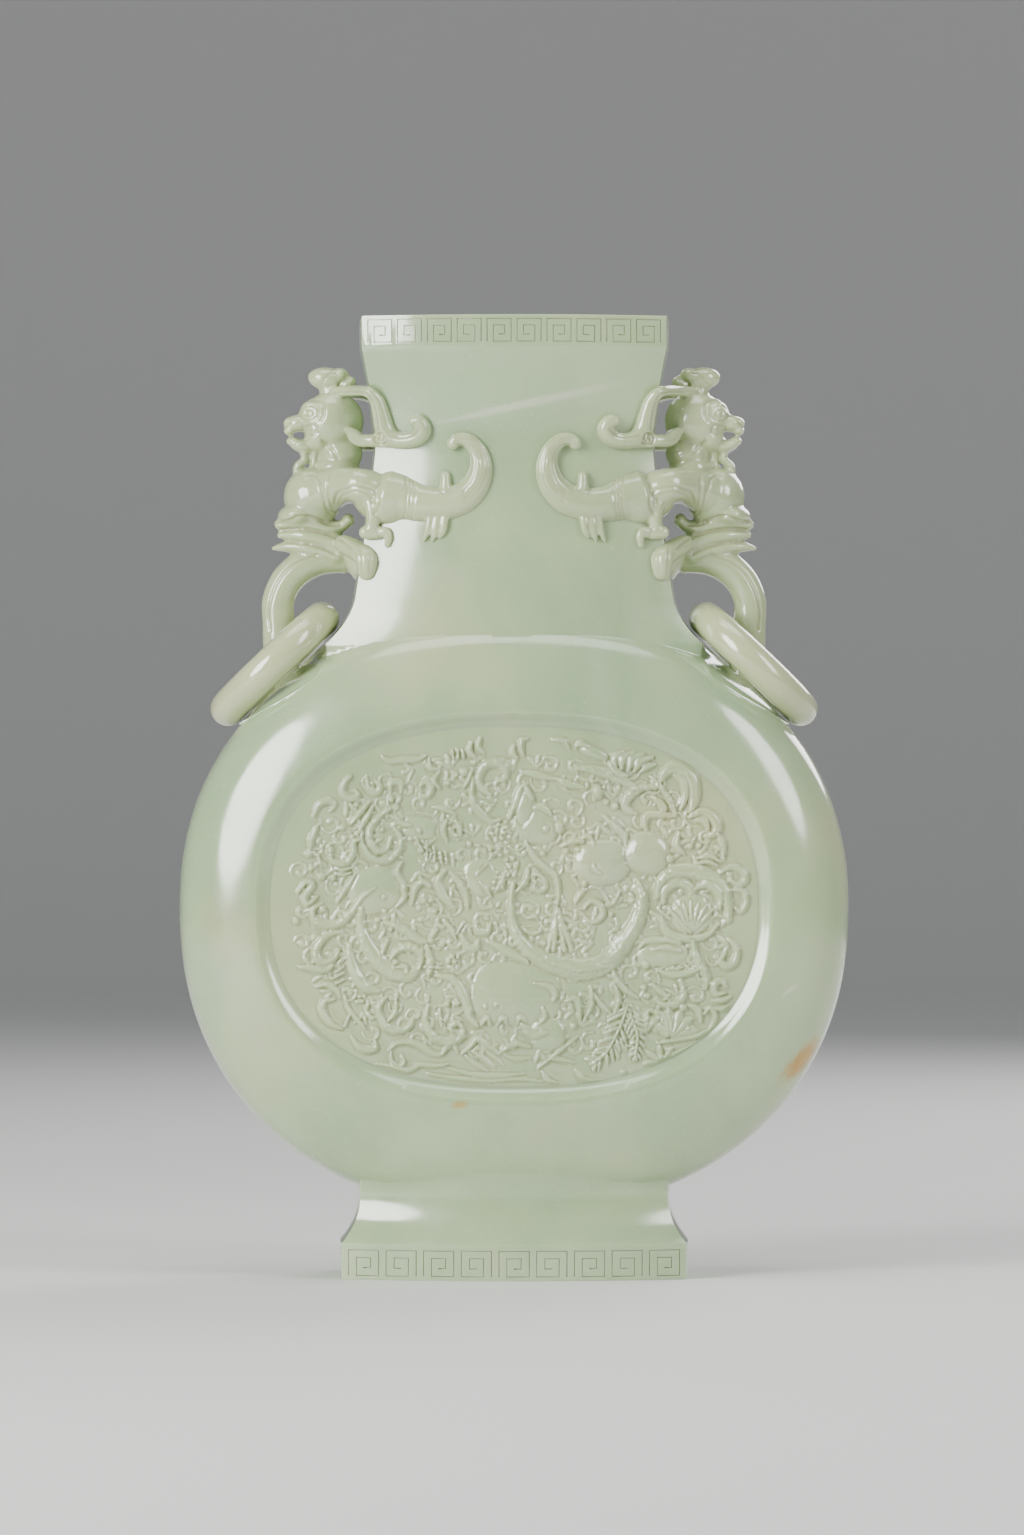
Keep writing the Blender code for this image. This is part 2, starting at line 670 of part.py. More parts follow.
def front_relief(facing):
    """A horned creature coiled among scrolls, a flower and leaves."""
    coil = []
    for i in range(15):
        share = i / 14
        angle = math.radians(165 + 225 * share)
        width = 0.0027 * math.sin(math.pi * (0.08 + 0.86 * share)) ** 0.7
        coil.append((0.245 + COIL_RADIUS * math.cos(angle) / FIELD_HALF_WIDTH,
                     -0.045 + COIL_RADIUS * math.sin(angle) / FIELD_HALF_HEIGHT, width))
    works = [relief_strip(coil, facing, sides=6, per_span=1)]
    works += [
        boss(-0.01, -0.41, 0.0122, 0.0094, facing, 0.25, 12),
        boss(0.365, 0.225, 0.0072, 0.0068, facing, 0.0, 10),
        boss(0.515, 0.275, 0.0070, 0.0066, facing, 0.3, 10),
        boss(-0.555, 0.17, 0.0064, 0.0058, facing, 0.0, 10),
        boss(-0.03, 0.27, 0.0052, 0.0064, facing, 0.4),
        boss(0.02, 0.43, 0.0046, 0.0040, facing),
        boss(0.30, 0.02, 0.0026, 0.0026, facing),
        boss(-0.22, -0.22, 0.0030, 0.0026, facing),
    ]
    strips = (
        ((0.03, 0.46, 0.0019), (0.05, 0.60, 0.0014), (0.01, 0.76, 0.0004)),
        ((-0.02, 0.50, 0.0014), (-0.14, 0.60, 0.0013), (-0.19, 0.76, 0.0005)),
        ((0.02, 0.36, 0.0016), (0.12, 0.14, 0.0020), (0.24, -0.04, 0.0016), (0.14, -0.26, 0.0008)),
        ((0.50, 0.34, 0.0012), (0.54, 0.54, 0.0024), (0.64, 0.62, 0.0022), (0.68, 0.46, 0.0010)),
        ((0.22, 0.58, 0.0010), (0.36, 0.66, 0.0024), (0.50, 0.70, 0.0008)),
        ((0.68, -0.14, 0.0014), (0.70, -0.32, 0.0016), (0.58, -0.50, 0.0008)),
        ((-0.36, -0.06, 0.0012), (-0.50, -0.28, 0.0022), (-0.36, -0.50, 0.0020), (-0.20, -0.42, 0.0010)),
        ((-0.30, 0.24, 0.0010), (-0.18, 0.04, 0.0020), (-0.20, -0.16, 0.0012)),
        ((-0.48, 0.14, 0.0014), (-0.60, -0.06, 0.0018), (-0.56, -0.26, 0.0010)),
        ((0.18, -0.58, 0.0010), (0.34, -0.50, 0.0024), (0.46, -0.60, 0.0008)),
        ((-0.22, -0.66, 0.0012), (-0.06, -0.60, 0.0024), (0.08, -0.70, 0.0010)),
    )
    works += [relief_strip(strip, facing, per_span=2) for strip in strips]
    works += flower(0.655, 0.02, 0.0088, 6, facing)
    works += border_curls(facing, 12, 0.78, 0.0090, 0.0014)
    return works


def back_relief(facing):
    """A plainer field: one open flower among scrolls."""
    works = flower(0.0, 0.0, 0.0170, 8, facing)
    for side in (-1, 1):
        for rise in (-1, 1):
            sweep = 420 * side * rise
            works.append(curl(0.42 * side, 0.36 * rise, 0.0110, 90 - 90 * side, sweep, 0.0016, facing))
    works += border_curls(facing, 10, 0.77, 0.0095, 0.0015)
    return works


def ring_place():
    """The right ring's centre, the way down the shoulder, and the way out of it."""
    curve = shoulder_curve()
    high, low = bezier(curve, RING_TOP_SHARE), bezier(curve, 1.0)
    along = Vector((low[0] - high[0], 0.0, low[1] - high[1])).normalized()
    out = Vector((-along.z, 0.0, along.x))
    samples = []
    for i in range(SHOULDER_SAMPLES + 1):
        x, z = bezier(curve, i / SHOULDER_SAMPLES)
        samples.append(Vector((x, 0.0, z)))
    start = Vector((WAIST_HALF_WIDTH + RING_FROM_NECK, 0.0, 0.0))
    middle = Vector((high[0], 0.0, high[1]))
    foot = middle + along * ((start.x - middle.x) / along.x)
    lift = 0.0
    while True:
        centre = foot + out * lift
        ends = [centre + along * RING_RADIUS, centre - along * RING_RADIUS]
        nearest = min((end - sample).length for end in ends for sample in samples)
        if nearest >= RING_TUBE + RING_CLEARANCE or lift > RING_RADIUS:
            return centre, along, out
        lift += RING_STEP


def ring_solid(name, side, group, stone):
    """A loose ring, lying on the shoulder with the loop passing through it."""
    bpy.ops.mesh.primitive_torus_add(
        major_radius=RING_RADIUS,
        minor_radius=RING_TUBE,
        major_segments=RING_SIDES,
        minor_segments=TUBE_SIDES,
    )
    ring = bpy.context.object
    for holder in list(ring.users_collection):
        holder.objects.unlink(ring)
    group.objects.link(ring)
    ring.name = name
    centre, along, out = ring_place()
    across = out.cross(along)
    turn = Matrix((along, across, out)).transposed().to_4x4()
    place = Matrix.Translation(centre) @ turn
    if side < 0:
        place = Matrix.Diagonal((-1.0, 1.0, 1.0, 1.0)) @ place @ Matrix.Diagonal((-1.0, 1.0, 1.0, 1.0))
    ring.matrix_world = place
    ring.data.materials.append(stone)
    ring.data.shade_smooth()
    return ring


def combined(name, base, pieces, operation, group, tool_group):
    """The base with all the pieces joined to it or cut from it."""
    holder = bpy.data.collections.new(name + "_pieces")
    tool_group.children.link(holder)
    for piece in pieces:
        for old in list(piece.users_collection):
            old.objects.unlink(piece)
        holder.objects.link(as_cutter(piece))
    change = base.modifiers.new(name, "BOOLEAN")
    change.operation = operation
    change.operand_type = "COLLECTION"
    change.collection = holder
    change.solver = "EXACT"
    bpy.context.view_layer.update()
    work = evaluated_copy(base)
    bpy.data.objects.remove(base, do_unlink=True)
    for piece in pieces:
        bpy.data.objects.remove(piece, do_unlink=True)
    bpy.data.collections.remove(holder)
    return mesh_object(name, work, group)


def vase_solid(group, tools, stone):
    """The whole vase with its handles as one solid."""
    vase = combined("vase", body_solid(group), [neck_solid(tools), foot_solid(tools)], "UNION", group, tools)
    beast = beast_solid(tools)
    vase = combined("vase", vase, [beast, mirrored(beast, "beast_left", tools)], "UNION", group, tools)
    hollows = [body_hollow(tools), neck_hollow(tools), foot_hollow(tools)]
    vase = combined("vase", vase, hollows, "DIFFERENCE", group, tools)
    reliefs = [mesh_object("relief", work, tools) for work in front_relief(-1) + back_relief(1)]
    vase = combined("vase", vase, reliefs, "UNION", group, tools)
    vase = with_fewer_faces("vase", vase, VASE_TRIANGLES, group)
    vase.data.materials.append(stone)
    return vase


def main():
    clear_scene()
    group = new_collection("jade_vase")
    tools = new_collection("cutters")
    stone = jade("pale_jade", JADE)
    ring_stone = jade("cream_jade", RING_JADE)
    vase_solid(group, tools, stone)
    ring_solid("ring_right", 1, group, ring_stone)
    ring_solid("ring_left", -1, group, ring_stone)


main()
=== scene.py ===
"""The looks of a flattened vase of pale jade with two beast handles, loose rings and a carved oval
field on each broad side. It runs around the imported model. Metres, +Z up, the front towards -Y."""

import math

import bmesh
import bpy
import numpy as np
from bpy.props import FloatProperty, FloatVectorProperty, IntProperty, PointerProperty
from mathutils import Matrix, Vector


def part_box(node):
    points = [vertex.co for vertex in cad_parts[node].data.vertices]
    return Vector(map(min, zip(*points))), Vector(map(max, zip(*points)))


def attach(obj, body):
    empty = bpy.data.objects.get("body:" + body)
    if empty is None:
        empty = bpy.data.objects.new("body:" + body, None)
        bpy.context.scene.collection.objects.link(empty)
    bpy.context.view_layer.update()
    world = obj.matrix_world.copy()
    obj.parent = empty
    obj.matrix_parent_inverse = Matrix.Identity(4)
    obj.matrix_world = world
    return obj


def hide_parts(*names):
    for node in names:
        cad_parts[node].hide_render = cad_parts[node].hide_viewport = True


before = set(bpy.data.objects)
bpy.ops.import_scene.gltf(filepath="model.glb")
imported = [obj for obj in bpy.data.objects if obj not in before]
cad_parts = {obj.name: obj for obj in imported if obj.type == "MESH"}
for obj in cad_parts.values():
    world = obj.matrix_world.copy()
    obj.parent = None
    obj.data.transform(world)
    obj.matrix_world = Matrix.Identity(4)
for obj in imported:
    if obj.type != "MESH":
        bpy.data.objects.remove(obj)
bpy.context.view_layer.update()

bl_info = {
    "name": "Jade vase",
    "version": (1, 0, 0),
    "blender": (4, 5, 0),
    "location": "View3D > Sidebar > Jade vase",
    "description": "Dresses the packed jade vase: carved relief, beast handles, rings and stone",
    "category": "Object",
}

# Heights and widths that the frame gives
LOW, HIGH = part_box("vase")
HEIGHT = HIGH.z
MM = HEIGHT / 270

# Heights
FOOT_HEIGHT = 25.9 * MM
NECK_ROOT_Z = 190.5 * MM
WAIST_Z = 232.8 * MM
LIP_HEIGHT = 9 * MM

# Foot
FOOT_HALF_WIDTH = 49.2 * MM
FOOT_HALF_DEPTH = 31 * MM
FOOT_BAND_HEIGHT = 10.1 * MM
FOOT_WAIST_HALF_WIDTH = 44.1 * MM
FOOT_WAIST_HALF_DEPTH = 26.5 * MM
FOOT_WAIST_Z = 23.5 * MM
FOOT_RIM = 7 * MM
FOOT_HOLLOW_DEPTH = 3 * MM

# Neck and mouth
MOUTH_HALF_WIDTH = 43.7 * MM
MOUTH_HALF_DEPTH = 26.5 * MM
WAIST_HALF_WIDTH = 40 * MM
WAIST_HALF_DEPTH = 21 * MM
NECK_ROOT_HALF_WIDTH = 45.7 * MM
NECK_ROOT_HALF_DEPTH = 22.5 * MM
FACE_BOW = 8.5 * MM
SIDE_BOW = 1 * MM
NECK_WALL = 5 * MM

# Shoulder, where the neck's narrow side runs down on to the body as a tongue
TONGUE_END_Z = 155.6 * MM
TONGUE_PROUD = 0.5 * MM
TONGUE_CROWN = 7.5 * MM
TONGUE_EDGE = 0.4 * MM

# Body
BODY_Z = 104 * MM
BODY_HALF_WIDTH = 94.4 * MM
BODY_BELOW = 86.2 * MM
BODY_ABOVE = 82 * MM
BODY_HALF_DEPTH = 33 * MM
OUTLINE_POWER = 2.2
FACE_POWER = 3.5
EDGE_POWER = 4.0
BODY_WALL = 7 * MM

# Sunk oval field on each broad side
FIELD_Z = 104.5 * MM
FIELD_HALF_WIDTH = 72.4 * MM
FIELD_HALF_HEIGHT = 54.5 * MM
FIELD_POWER = 2.4
FIELD_BEVEL = 4.2 * MM
FIELD_LEVEL = 27.2 * MM
SLAB_DEPTH = 3.4 * MM
SLAB_LAP = 0.3 * MM
FAR = 30.0

# Beast handles, on a grid of millimetres out from the neck's side and up from the beast's base
BEAST_Z = 200 * MM
BEAST_FORWARD_LEAST = 0.25
BEAST_FORWARD_RANGE = 0.3
BURIED_SHARE = 0.6
LOOP_RADIUS = 4.6 * MM

# Key fret
FRET_MARGIN = 0.9 * MM
FRET_LIP_GAP = 0.3 * MM
FRET_LIP_DROP = 0.6 * MM
KEY_SHARE = 0.80
GROOVE_SUNK_SHARE = 0.3

# Relief levels in millimetres
RELIEF_LOWEST = -0.45
RELIEF_TOP = 1.8
RELIEF_SCALE = 1.7
BACK_CELL_SHARE = 1.2

# Studio
FLOOR_REACH = 2.8
WALL_REACH = 4.2
WALL_CURVE_HEIGHT = 1.1
WALL_TOP = 1.5
CAMERA_DISTANCE = 2.2
CAMERA_X = -0.6 * MM
CAMERA_Z = 143.3 * MM
VIEW_SPAN = 434.2 * MM
SENSOR_WIDTH = 36.0

# Fineness
BODY_SIDES = 240
BODY_ROWS = 26
FACE_STEPS = 40
SIDE_STEPS = 14
NECK_ROWS = 44
SHOULDER_ROWS = 40


class VaseSizes(bpy.types.PropertyGroup):
    """Sizes of the carving and the rings."""

    relief_height: FloatProperty(
        name="Relief height",
        description="How far the front relief stands above its field",
        default=0.0023,
        unit="LENGTH",
    )
    back_relief_height: FloatProperty(
        name="Back relief height",
        description="How far the back relief stands above its field",
        default=0.0017,
        unit="LENGTH",
    )
    relief_cell: FloatProperty(
        name="Relief cell",
        description="Width of one square of the front relief's mesh",
        default=0.000385,
        unit="LENGTH",
    )
    fret_groove: FloatProperty(
        name="Fret groove",
        description="Width of the line that is cut for the key fret",
        default=0.00052,
        unit="LENGTH",
    )
    mouth_keys: IntProperty(
        name="Mouth keys",
        description="Keys of the fret on one broad side of the mouth",
        default=10,
    )
    foot_keys: IntProperty(
        name="Foot keys",
        description="Keys of the fret on one broad side of the foot",
        default=9,
    )
    ring_radius: FloatProperty(
        name="Ring radius",
        description="From the ring's centre to the middle of its stone",
        default=0.0184,
        unit="LENGTH",
    )
    ring_tube: FloatProperty(
        name="Ring thickness",
        description="Radius of the ring's round section",
        default=0.00495,
        unit="LENGTH",
    )
    carving_voxel: FloatProperty(
        name="Carving voxel",
        description="Fineness of the beasts' mesh",
        default=0.00042,
        unit="LENGTH",
    )


class VaseColours(bpy.types.PropertyGroup):
    """Colours of the stone and the studio."""

    pale: FloatVectorProperty(
        name="Pale jade",
        description="The stone where it is clearest",
        subtype="COLOR",
        size=3,
        min=0,
        max=1,
        default=(0.44, 0.55, 0.315),
    )
    deep: FloatVectorProperty(
        name="Deep jade",
        description="The greener clouds of the stone",
        subtype="COLOR",
        size=3,
        min=0,
        max=1,
        default=(0.33, 0.455, 0.255),
    )
    cream: FloatVectorProperty(
        name="Cream jade",
        description="The warmer stone of the rings and the beasts",
        subtype="COLOR",
        size=3,
        min=0,
        max=1,
        default=(0.58, 0.575, 0.325),
    )
    # Ochre colours the ochre cloud stain and the hollow tint. The hollow tint is partly the stone's warm
    # residue and partly painted shade in creases, cuts and grooves.
    ochre: FloatVectorProperty(
        name="Ochre",
        description="The warm tint that settles in the hollows",
        subtype="COLOR",
        size=3,
        min=0,
        max=1,
        default=(0.43, 0.36, 0.15),
    )
    rust: FloatVectorProperty(
        name="Rust",
        description="The stain at the body's right edge",
        subtype="COLOR",
        size=3,
        min=0,
        max=1,
        default=(0.52, 0.28, 0.02),
    )
    floor: FloatVectorProperty(
        name="Floor",
        description="The studio's floor and wall",
        subtype="COLOR",
        size=3,
        min=0,
        max=1,
        default=(0.74, 0.74, 0.72),
    )


class StudioLight(bpy.types.PropertyGroup):
    """Powers of the studio's soft lights."""

    key: FloatProperty(
        name="Key light",
        description="The large soft light at the upper left",
        default=25.0,
        unit="POWER",
    )
    side: FloatProperty(
        name="Side light",
        description="The tall soft light at the right",
        default=8.5,
        unit="POWER",
    )
    top: FloatProperty(
        name="Top light",
        description="The soft light overhead",
        default=5.0,
        unit="POWER",
    )
    back: FloatProperty(
        name="Back light",
        description="The large soft light behind the vase",
        default=14.0,
        unit="POWER",
    )
    room: FloatProperty(
        name="Room light",
        description="Strength of the light from all around",
        default=0.27,
    )


# Mesh building


def write_mesh(name, points, faces, stone=None):
    """An object in the scene from points and faces."""
    data = bpy.data.meshes.new(name)
    data.from_pydata([tuple(p) for p in points], [], [tuple(f) for f in faces])
    data.update()
    data.shade_smooth()
    thing = bpy.data.objects.new(name, data)
    bpy.context.scene.collection.objects.link(thing)
    if stone:
        data.materials.append(stone)
    return thing


def discard(thing):
    data = thing.data
    bpy.data.objects.remove(thing, do_unlink=True)
    if data.users == 0:
        store = bpy.data.meshes if isinstance(data, bpy.types.Mesh) else bpy.data.curves
        store.remove(data)


def settled(thing, name, stone):
    """A plain mesh object from a thing with live modifiers, which is removed."""
    bpy.context.view_layer.update()
    graph = bpy.context.evaluated_depsgraph_get()
    data = bpy.data.meshes.new_from_object(thing.evaluated_get(graph))
    discard(thing)
    data.name = name
    data.shade_smooth()
    data.materials.clear()
    data.materials.append(stone)
    plain = bpy.data.objects.new(name, data)
    bpy.context.scene.collection.objects.link(plain)
    return plain


def sharpen(thing, angle):
    """Marks the edges that stand out more sharply than an angle in degrees."""
    work = bmesh.new()
    work.from_mesh(thing.data)
    limit = math.radians(angle)
    for edge in work.edges:
        edge.smooth = not (len(edge.link_faces) == 2 and edge.calc_face_angle_signed() > limit)
    work.to_mesh(thing.data)
    work.free()


def combined(base, others, operation, name, stone):
    """The base with the other solids joined to it or cut from it. All of them are used up."""
    holder = bpy.data.collections.new(name + "_tools")
    bpy.context.scene.collection.children.link(holder)
    for other in others:
        bpy.context.scene.collection.objects.unlink(other)
        holder.objects.link(other)
    change = base.modifiers.new(name, "BOOLEAN")
    change.operation = operation
    change.operand_type = "COLLECTION"
    change.collection = holder
    change.solver = "EXACT"
    whole = settled(base, name, stone)
    for other in others:
        discard(other)
    bpy.data.collections.remove(holder)
    return whole


def grid_faces(rows, columns, closed):
    """Faces between rows of points; a closed row's last point joins its first."""
    across = columns if closed else columns - 1
    row = np.arange(rows - 1)[:, None] * columns
    here = np.arange(across)[None, :]
    after = (here + 1) % columns
    faces = np.stack((row + here, row + after, row + columns + after, row + columns + here), axis=-1)
    return faces.reshape(-1, 4).tolist()


def loft(name, rows):
    """A closed solid through rows of points, from the lowest to the highest."""
    count = len(rows[0])
    faces = grid_faces(len(rows), count, True)
    faces.append(list(reversed(range(count))))
    faces.append([(len(rows) - 1) * count + i for i in range(count)])
    return write_mesh(name, np.concatenate(rows), faces)


def smooth_path(points, per_span):
    """More points on a smooth curve through the given ones."""
    points = np.asarray(points, float)
    before = np.concatenate((points[:1], points, points[-1:]))
    steps = np.arange(per_span)[:, None] / per_span
    path = []
    for a, b, c, d in zip(before, before[1:], before[2:], before[3:]):
        line = (c - a) * steps
        line = line + (2 * a - 5 * b + 4 * c - d) * steps**2
        line = line + (3 * b - a - 3 * c + d) * steps**3
        path.append(b + 0.5 * line)
    return np.concatenate(path + [points[-1:]])


def tube(path, radii, sides, squash=1.0):
    """Points and faces of a closed tube with rounded ends along a path."""
    path = np.asarray(path, float)
    radii = np.asarray(radii, float)
    ahead = np.gradient(path, axis=0)
    ahead /= np.linalg.norm(ahead, axis=1)[:, None]
    caps = ((-0.94, 0.34), (-0.71, 0.71), (-0.34, 0.94))
    centres = [path[0] + ahead[0] * radii[0] * back for back, _ in caps]
    centres += list(path)
    centres += [path[-1] - ahead[-1] * radii[-1] * back for back, _ in reversed(caps)]
    widths = [radii[0] * share for _, share in caps] + list(radii)
    widths += [radii[-1] * share for _, share in reversed(caps)]
    tangents = [ahead[0]] * 3 + list(ahead) + [ahead[-1]] * 3
    side = np.cross(tangents[0], (0.0, 1.0, 0.0))
    if np.linalg.norm(side) < 0.2:
        side = np.cross(tangents[0], (1.0, 0.0, 0.0))
    turns = 2 * math.pi * np.arange(sides) / sides
    rows = []
    for centre, tangent, width in zip(centres, tangents, widths):
        side = side - tangent * np.dot(side, tangent)
        side /= np.linalg.norm(side)
        other = np.cross(tangent, side)
        row = centre + width * (np.cos(turns)[:, None] * side + np.sin(turns)[:, None] * other)
        row[:, 1] = centre[1] + (row[:, 1] - centre[1]) * squash
        rows.append(row)
    points = np.concatenate(rows)
    faces = grid_faces(len(rows), sides, True)
    faces.append(list(reversed(range(sides))))
    faces.append([len(points) - sides + i for i in range(sides)])
    return points, faces


def ball(centre, radii, tilt=0.0, segments=32):
    """Points and faces of a ball drawn out along X, Y and Z and tilted in the plane of the face."""
    rings = segments // 2
    rise = math.pi * np.arange(1, rings) / rings
    turn = 2 * math.pi * np.arange(segments) / segments
    x = radii[0] * np.sin(rise)[:, None] * np.cos(turn)
    y = radii[1] * np.sin(rise)[:, None] * np.sin(turn)
    z = -radii[2] * np.cos(rise)[:, None] * np.ones(segments)
    points = np.stack((x, y, z), axis=-1).reshape(-1, 3)
    points = np.concatenate((points, [(0, 0, -radii[2]), (0, 0, radii[2])]))
    turned = points.copy()
    turned[:, 0] = points[:, 0] * math.cos(tilt) + points[:, 2] * math.sin(tilt)
    turned[:, 2] = points[:, 2] * math.cos(tilt) - points[:, 0] * math.sin(tilt)
    faces = grid_faces(rings - 1, segments, True)
    low = len(points) - 2
    last = (rings - 2) * segments
    for i in range(segments):
        j = (i + 1) % segments
        faces.append((low, j, i))
        faces.append((low + 1, last + i, last + j))
    return turned + np.asarray(centre), faces


def gathered(parts):
    """One list of points and faces from several."""
    points, faces, count = [], [], 0
    for some, shape in parts:
        points.append(some)
        faces += [[i + count for i in face] for face in shape]
        count += len(some)
    return np.concatenate(points), faces


# The vase's own curves, as in the part


def signed_power(value, power):
    return np.sign(value) * np.abs(value) ** power


def oval(turns, half_width, above, below, power):
    """Points of an oval that is squarer than an ellipse."""
    side = np.sin(turns)
    reach = np.where(side > 0, above, below)
    x = half_width * signed_power(np.cos(turns), 2 / power)
    return x, reach * signed_power(side, 2 / power)


def body_share(x, z):
    """How far out a point lies on the body's face, from 0 at the middle to 1 at the outline."""
    reach = np.where(z > BODY_Z, BODY_ABOVE, BODY_BELOW)
    total = (np.abs(x) / BODY_HALF_WIDTH) ** OUTLINE_POWER + (np.abs(z - BODY_Z) / reach) ** OUTLINE_POWER
    return total ** (1 / OUTLINE_POWER)


def body_depth(x, z):
    """Half the body's thickness at a point of its face."""
    share = np.minimum(body_share(x, z), 1.0)
    return BODY_HALF_DEPTH * (1 - share**FACE_POWER) ** (1 / EDGE_POWER)


def body_half_width(z):
    rise = abs(z - BODY_Z) / (BODY_ABOVE if z > BODY_Z else BODY_BELOW)
    return BODY_HALF_WIDTH * max(1 - rise**OUTLINE_POWER, 0.0) ** (1 / OUTLINE_POWER)


def neck_sizes(z):
    """Half width and half depth of the neck at a height above its root."""
    lip_z = HEIGHT - LIP_HEIGHT
    if z >= WAIST_Z:
        share = min((z - WAIST_Z) / (lip_z - WAIST_Z), 1.0) ** 1.65
        wide, deep = MOUTH_HALF_WIDTH, MOUTH_HALF_DEPTH
    else:
        share = ((WAIST_Z - z) / (WAIST_Z - NECK_ROOT_Z)) ** 1.2
        wide, deep = NECK_ROOT_HALF_WIDTH, NECK_ROOT_HALF_DEPTH
    wide = WAIST_HALF_WIDTH + (wide - WAIST_HALF_WIDTH) * share
    return wide, WAIST_HALF_DEPTH + (deep - WAIST_HALF_DEPTH) * share


def neck_face(x, z):
    """How far forward the neck's broad face stands at a point."""
    wide, deep = neck_sizes(z)
    return deep - FACE_BOW * (x / wide) ** 2


def bezier(points, share):
    keep = 1 - share
    weights = (keep**3, 3 * keep * keep * share, 3 * keep * share * share, share**3)
    return tuple(sum(w * p[i] for w, p in zip(weights, points)) for i in (0, 1))


def shoulder_curve():
    """The four points of the side curve from the neck's root to the tongue's end."""
    root = (NECK_ROOT_HALF_WIDTH, NECK_ROOT_Z)
    end = (body_half_width(TONGUE_END_Z) + TONGUE_PROUD, TONGUE_END_Z)
    run, drop = end[0] - root[0], root[1] - end[1]
    leave = (root[0] + 0.08 * run, root[1] - 0.33 * drop)
    arrive = (end[0] - 0.44 * run, end[1] + 0.47 * drop)
    return root, leave, arrive, end


def pillow(wide, deep, corner_wide, corner_deep, z):
    """A rectangle with bowed sides and sharp corners, anticlockwise."""
    across = corner_wide * np.linspace(-1, 1, FACE_STEPS + 1)[:-1]
    face = deep - (deep - corner_deep) * (across / corner_wide) ** 2
    along = corner_deep * np.linspace(-1, 1, SIDE_STEPS + 1)[:-1]
    side = wide - (wide - corner_wide) * (along / corner_deep) ** 2
    x = np.concatenate((across, side, -across, -side))
    y = np.concatenate((-face, along, face, -along))
    return np.stack((x, y, np.full(len(x), z)), axis=-1)


# The body, the neck and the foot


def body_solid():
    """The lens-shaped body with a pocket on both broad sides for the carved fields."""
    turns = 2 * math.pi * np.arange(BODY_SIDES) / BODY_SIDES
    lip_x, lip_z = oval(turns, FIELD_HALF_WIDTH, FIELD_HALF_HEIGHT, FIELD_HALF_HEIGHT, FIELD_POWER)
    lip_z = lip_z + FIELD_Z
    edge_x, edge_z = oval(turns, BODY_HALF_WIDTH, BODY_ABOVE, BODY_BELOW, OUTLINE_POWER)
    edge_z = edge_z + BODY_Z
    front = []
    for i in range(1, BODY_ROWS + 1):
        share = 1 - (i / BODY_ROWS) ** 2.6
        x = lip_x + (edge_x - lip_x) * share
        z = lip_z + (edge_z - lip_z) * share
        front.append((x, body_depth(x, z), z))
    lip_depth = front[-1][1]
    for share in (0.12, 0.5, 0.88, 1.0):
        inset = FIELD_BEVEL * share
        high = FIELD_HALF_HEIGHT - inset
        x, z = oval(turns, FIELD_HALF_WIDTH - inset, high, high, FIELD_POWER)
        drop = (1 - math.cos(math.pi * share)) / 2
        front.append((x, lip_depth + (FIELD_LEVEL - lip_depth) * drop, z + FIELD_Z))
    front.append((front[-1][0], np.full(BODY_SIDES, FIELD_LEVEL - SLAB_DEPTH + 0.1 * MM), front[-1][2]))
    rows = [np.stack((x, depth, z), axis=-1) for x, depth, z in reversed(front)]
    rows.append(np.stack((edge_x, np.zeros(BODY_SIDES), edge_z), axis=-1))
    rows += [np.stack((x, -depth, z), axis=-1) for x, depth, z in front]
    return loft("body", rows)


def shoulder_rows():
    """The neck's narrow sides flaring over the shoulder and ending in a tongue."""
    curve = shoulder_curve()
    root_corner = NECK_ROOT_HALF_DEPTH - FACE_BOW
    wide, z = curve[3]
    rows = [pillow(0.8 * wide, 16 * MM, 0.78 * wide, 10 * MM, z - 7.7 * MM)]
    for i in range(SHOULDER_ROWS):
        share = 1 - i / SHOULDER_ROWS
        wide, z = bezier(curve, share)
        swell = math.sin(math.pi * min(max((share - 0.4) / 0.6, 0.0), 1.0))
        corner_wide = wide - SIDE_BOW * min(1.0, 3 * (1.02 - share)) - TONGUE_CROWN * swell
        corner_deep = root_corner
        if body_share(corner_wide, z) < 1.0:
            corner_deep = max(root_corner, float(body_depth(corner_wide, z)) + TONGUE_EDGE)
        deep = max(NECK_ROOT_HALF_DEPTH, corner_deep + TONGUE_EDGE)
        rows.append(pillow(wide, deep, corner_wide, corner_deep, z))
    return rows


def neck_rows(wall):
    """The neck from its root to the mouth, or its hollow when a wall is given."""
    lip_z = HEIGHT - LIP_HEIGHT
    levels = list(np.linspace(NECK_ROOT_Z, lip_z, NECK_ROWS)) + [HEIGHT]
    rows = []
    for z in levels:
        wide, deep = neck_sizes(z)
        wide, deep = wide - wall, deep - wall
        bow = FACE_BOW * (1 - wall / deep)
        top = z + (wall if z == HEIGHT else 0.0)
        rows.append(pillow(wide, deep, wide - SIDE_BOW, deep - bow, top))
    return rows


def foot_solid():
    """The foot: a plain band that draws in to a waist and runs up into the body."""
    stations = [(0.0, 1.0), (FOOT_BAND_HEIGHT, 1.0)]
    for i in range(1, 15):
        share = i / 14
        stations.append((FOOT_BAND_HEIGHT + (FOOT_WAIST_Z - FOOT_BAND_HEIGHT) * share, (1 - share) ** 2.2))
    stations.append((FOOT_HEIGHT + 6 * MM, 0.0))
    rows = []
    for z, share in stations:
        wide = FOOT_WAIST_HALF_WIDTH + (FOOT_HALF_WIDTH - FOOT_WAIST_HALF_WIDTH) * share
        deep = FOOT_WAIST_HALF_DEPTH + (FOOT_HALF_DEPTH - FOOT_WAIST_HALF_DEPTH) * share
        rows.append(pillow(wide, deep, wide - SIDE_BOW, deep - FACE_BOW, z))
    return loft("foot", rows)


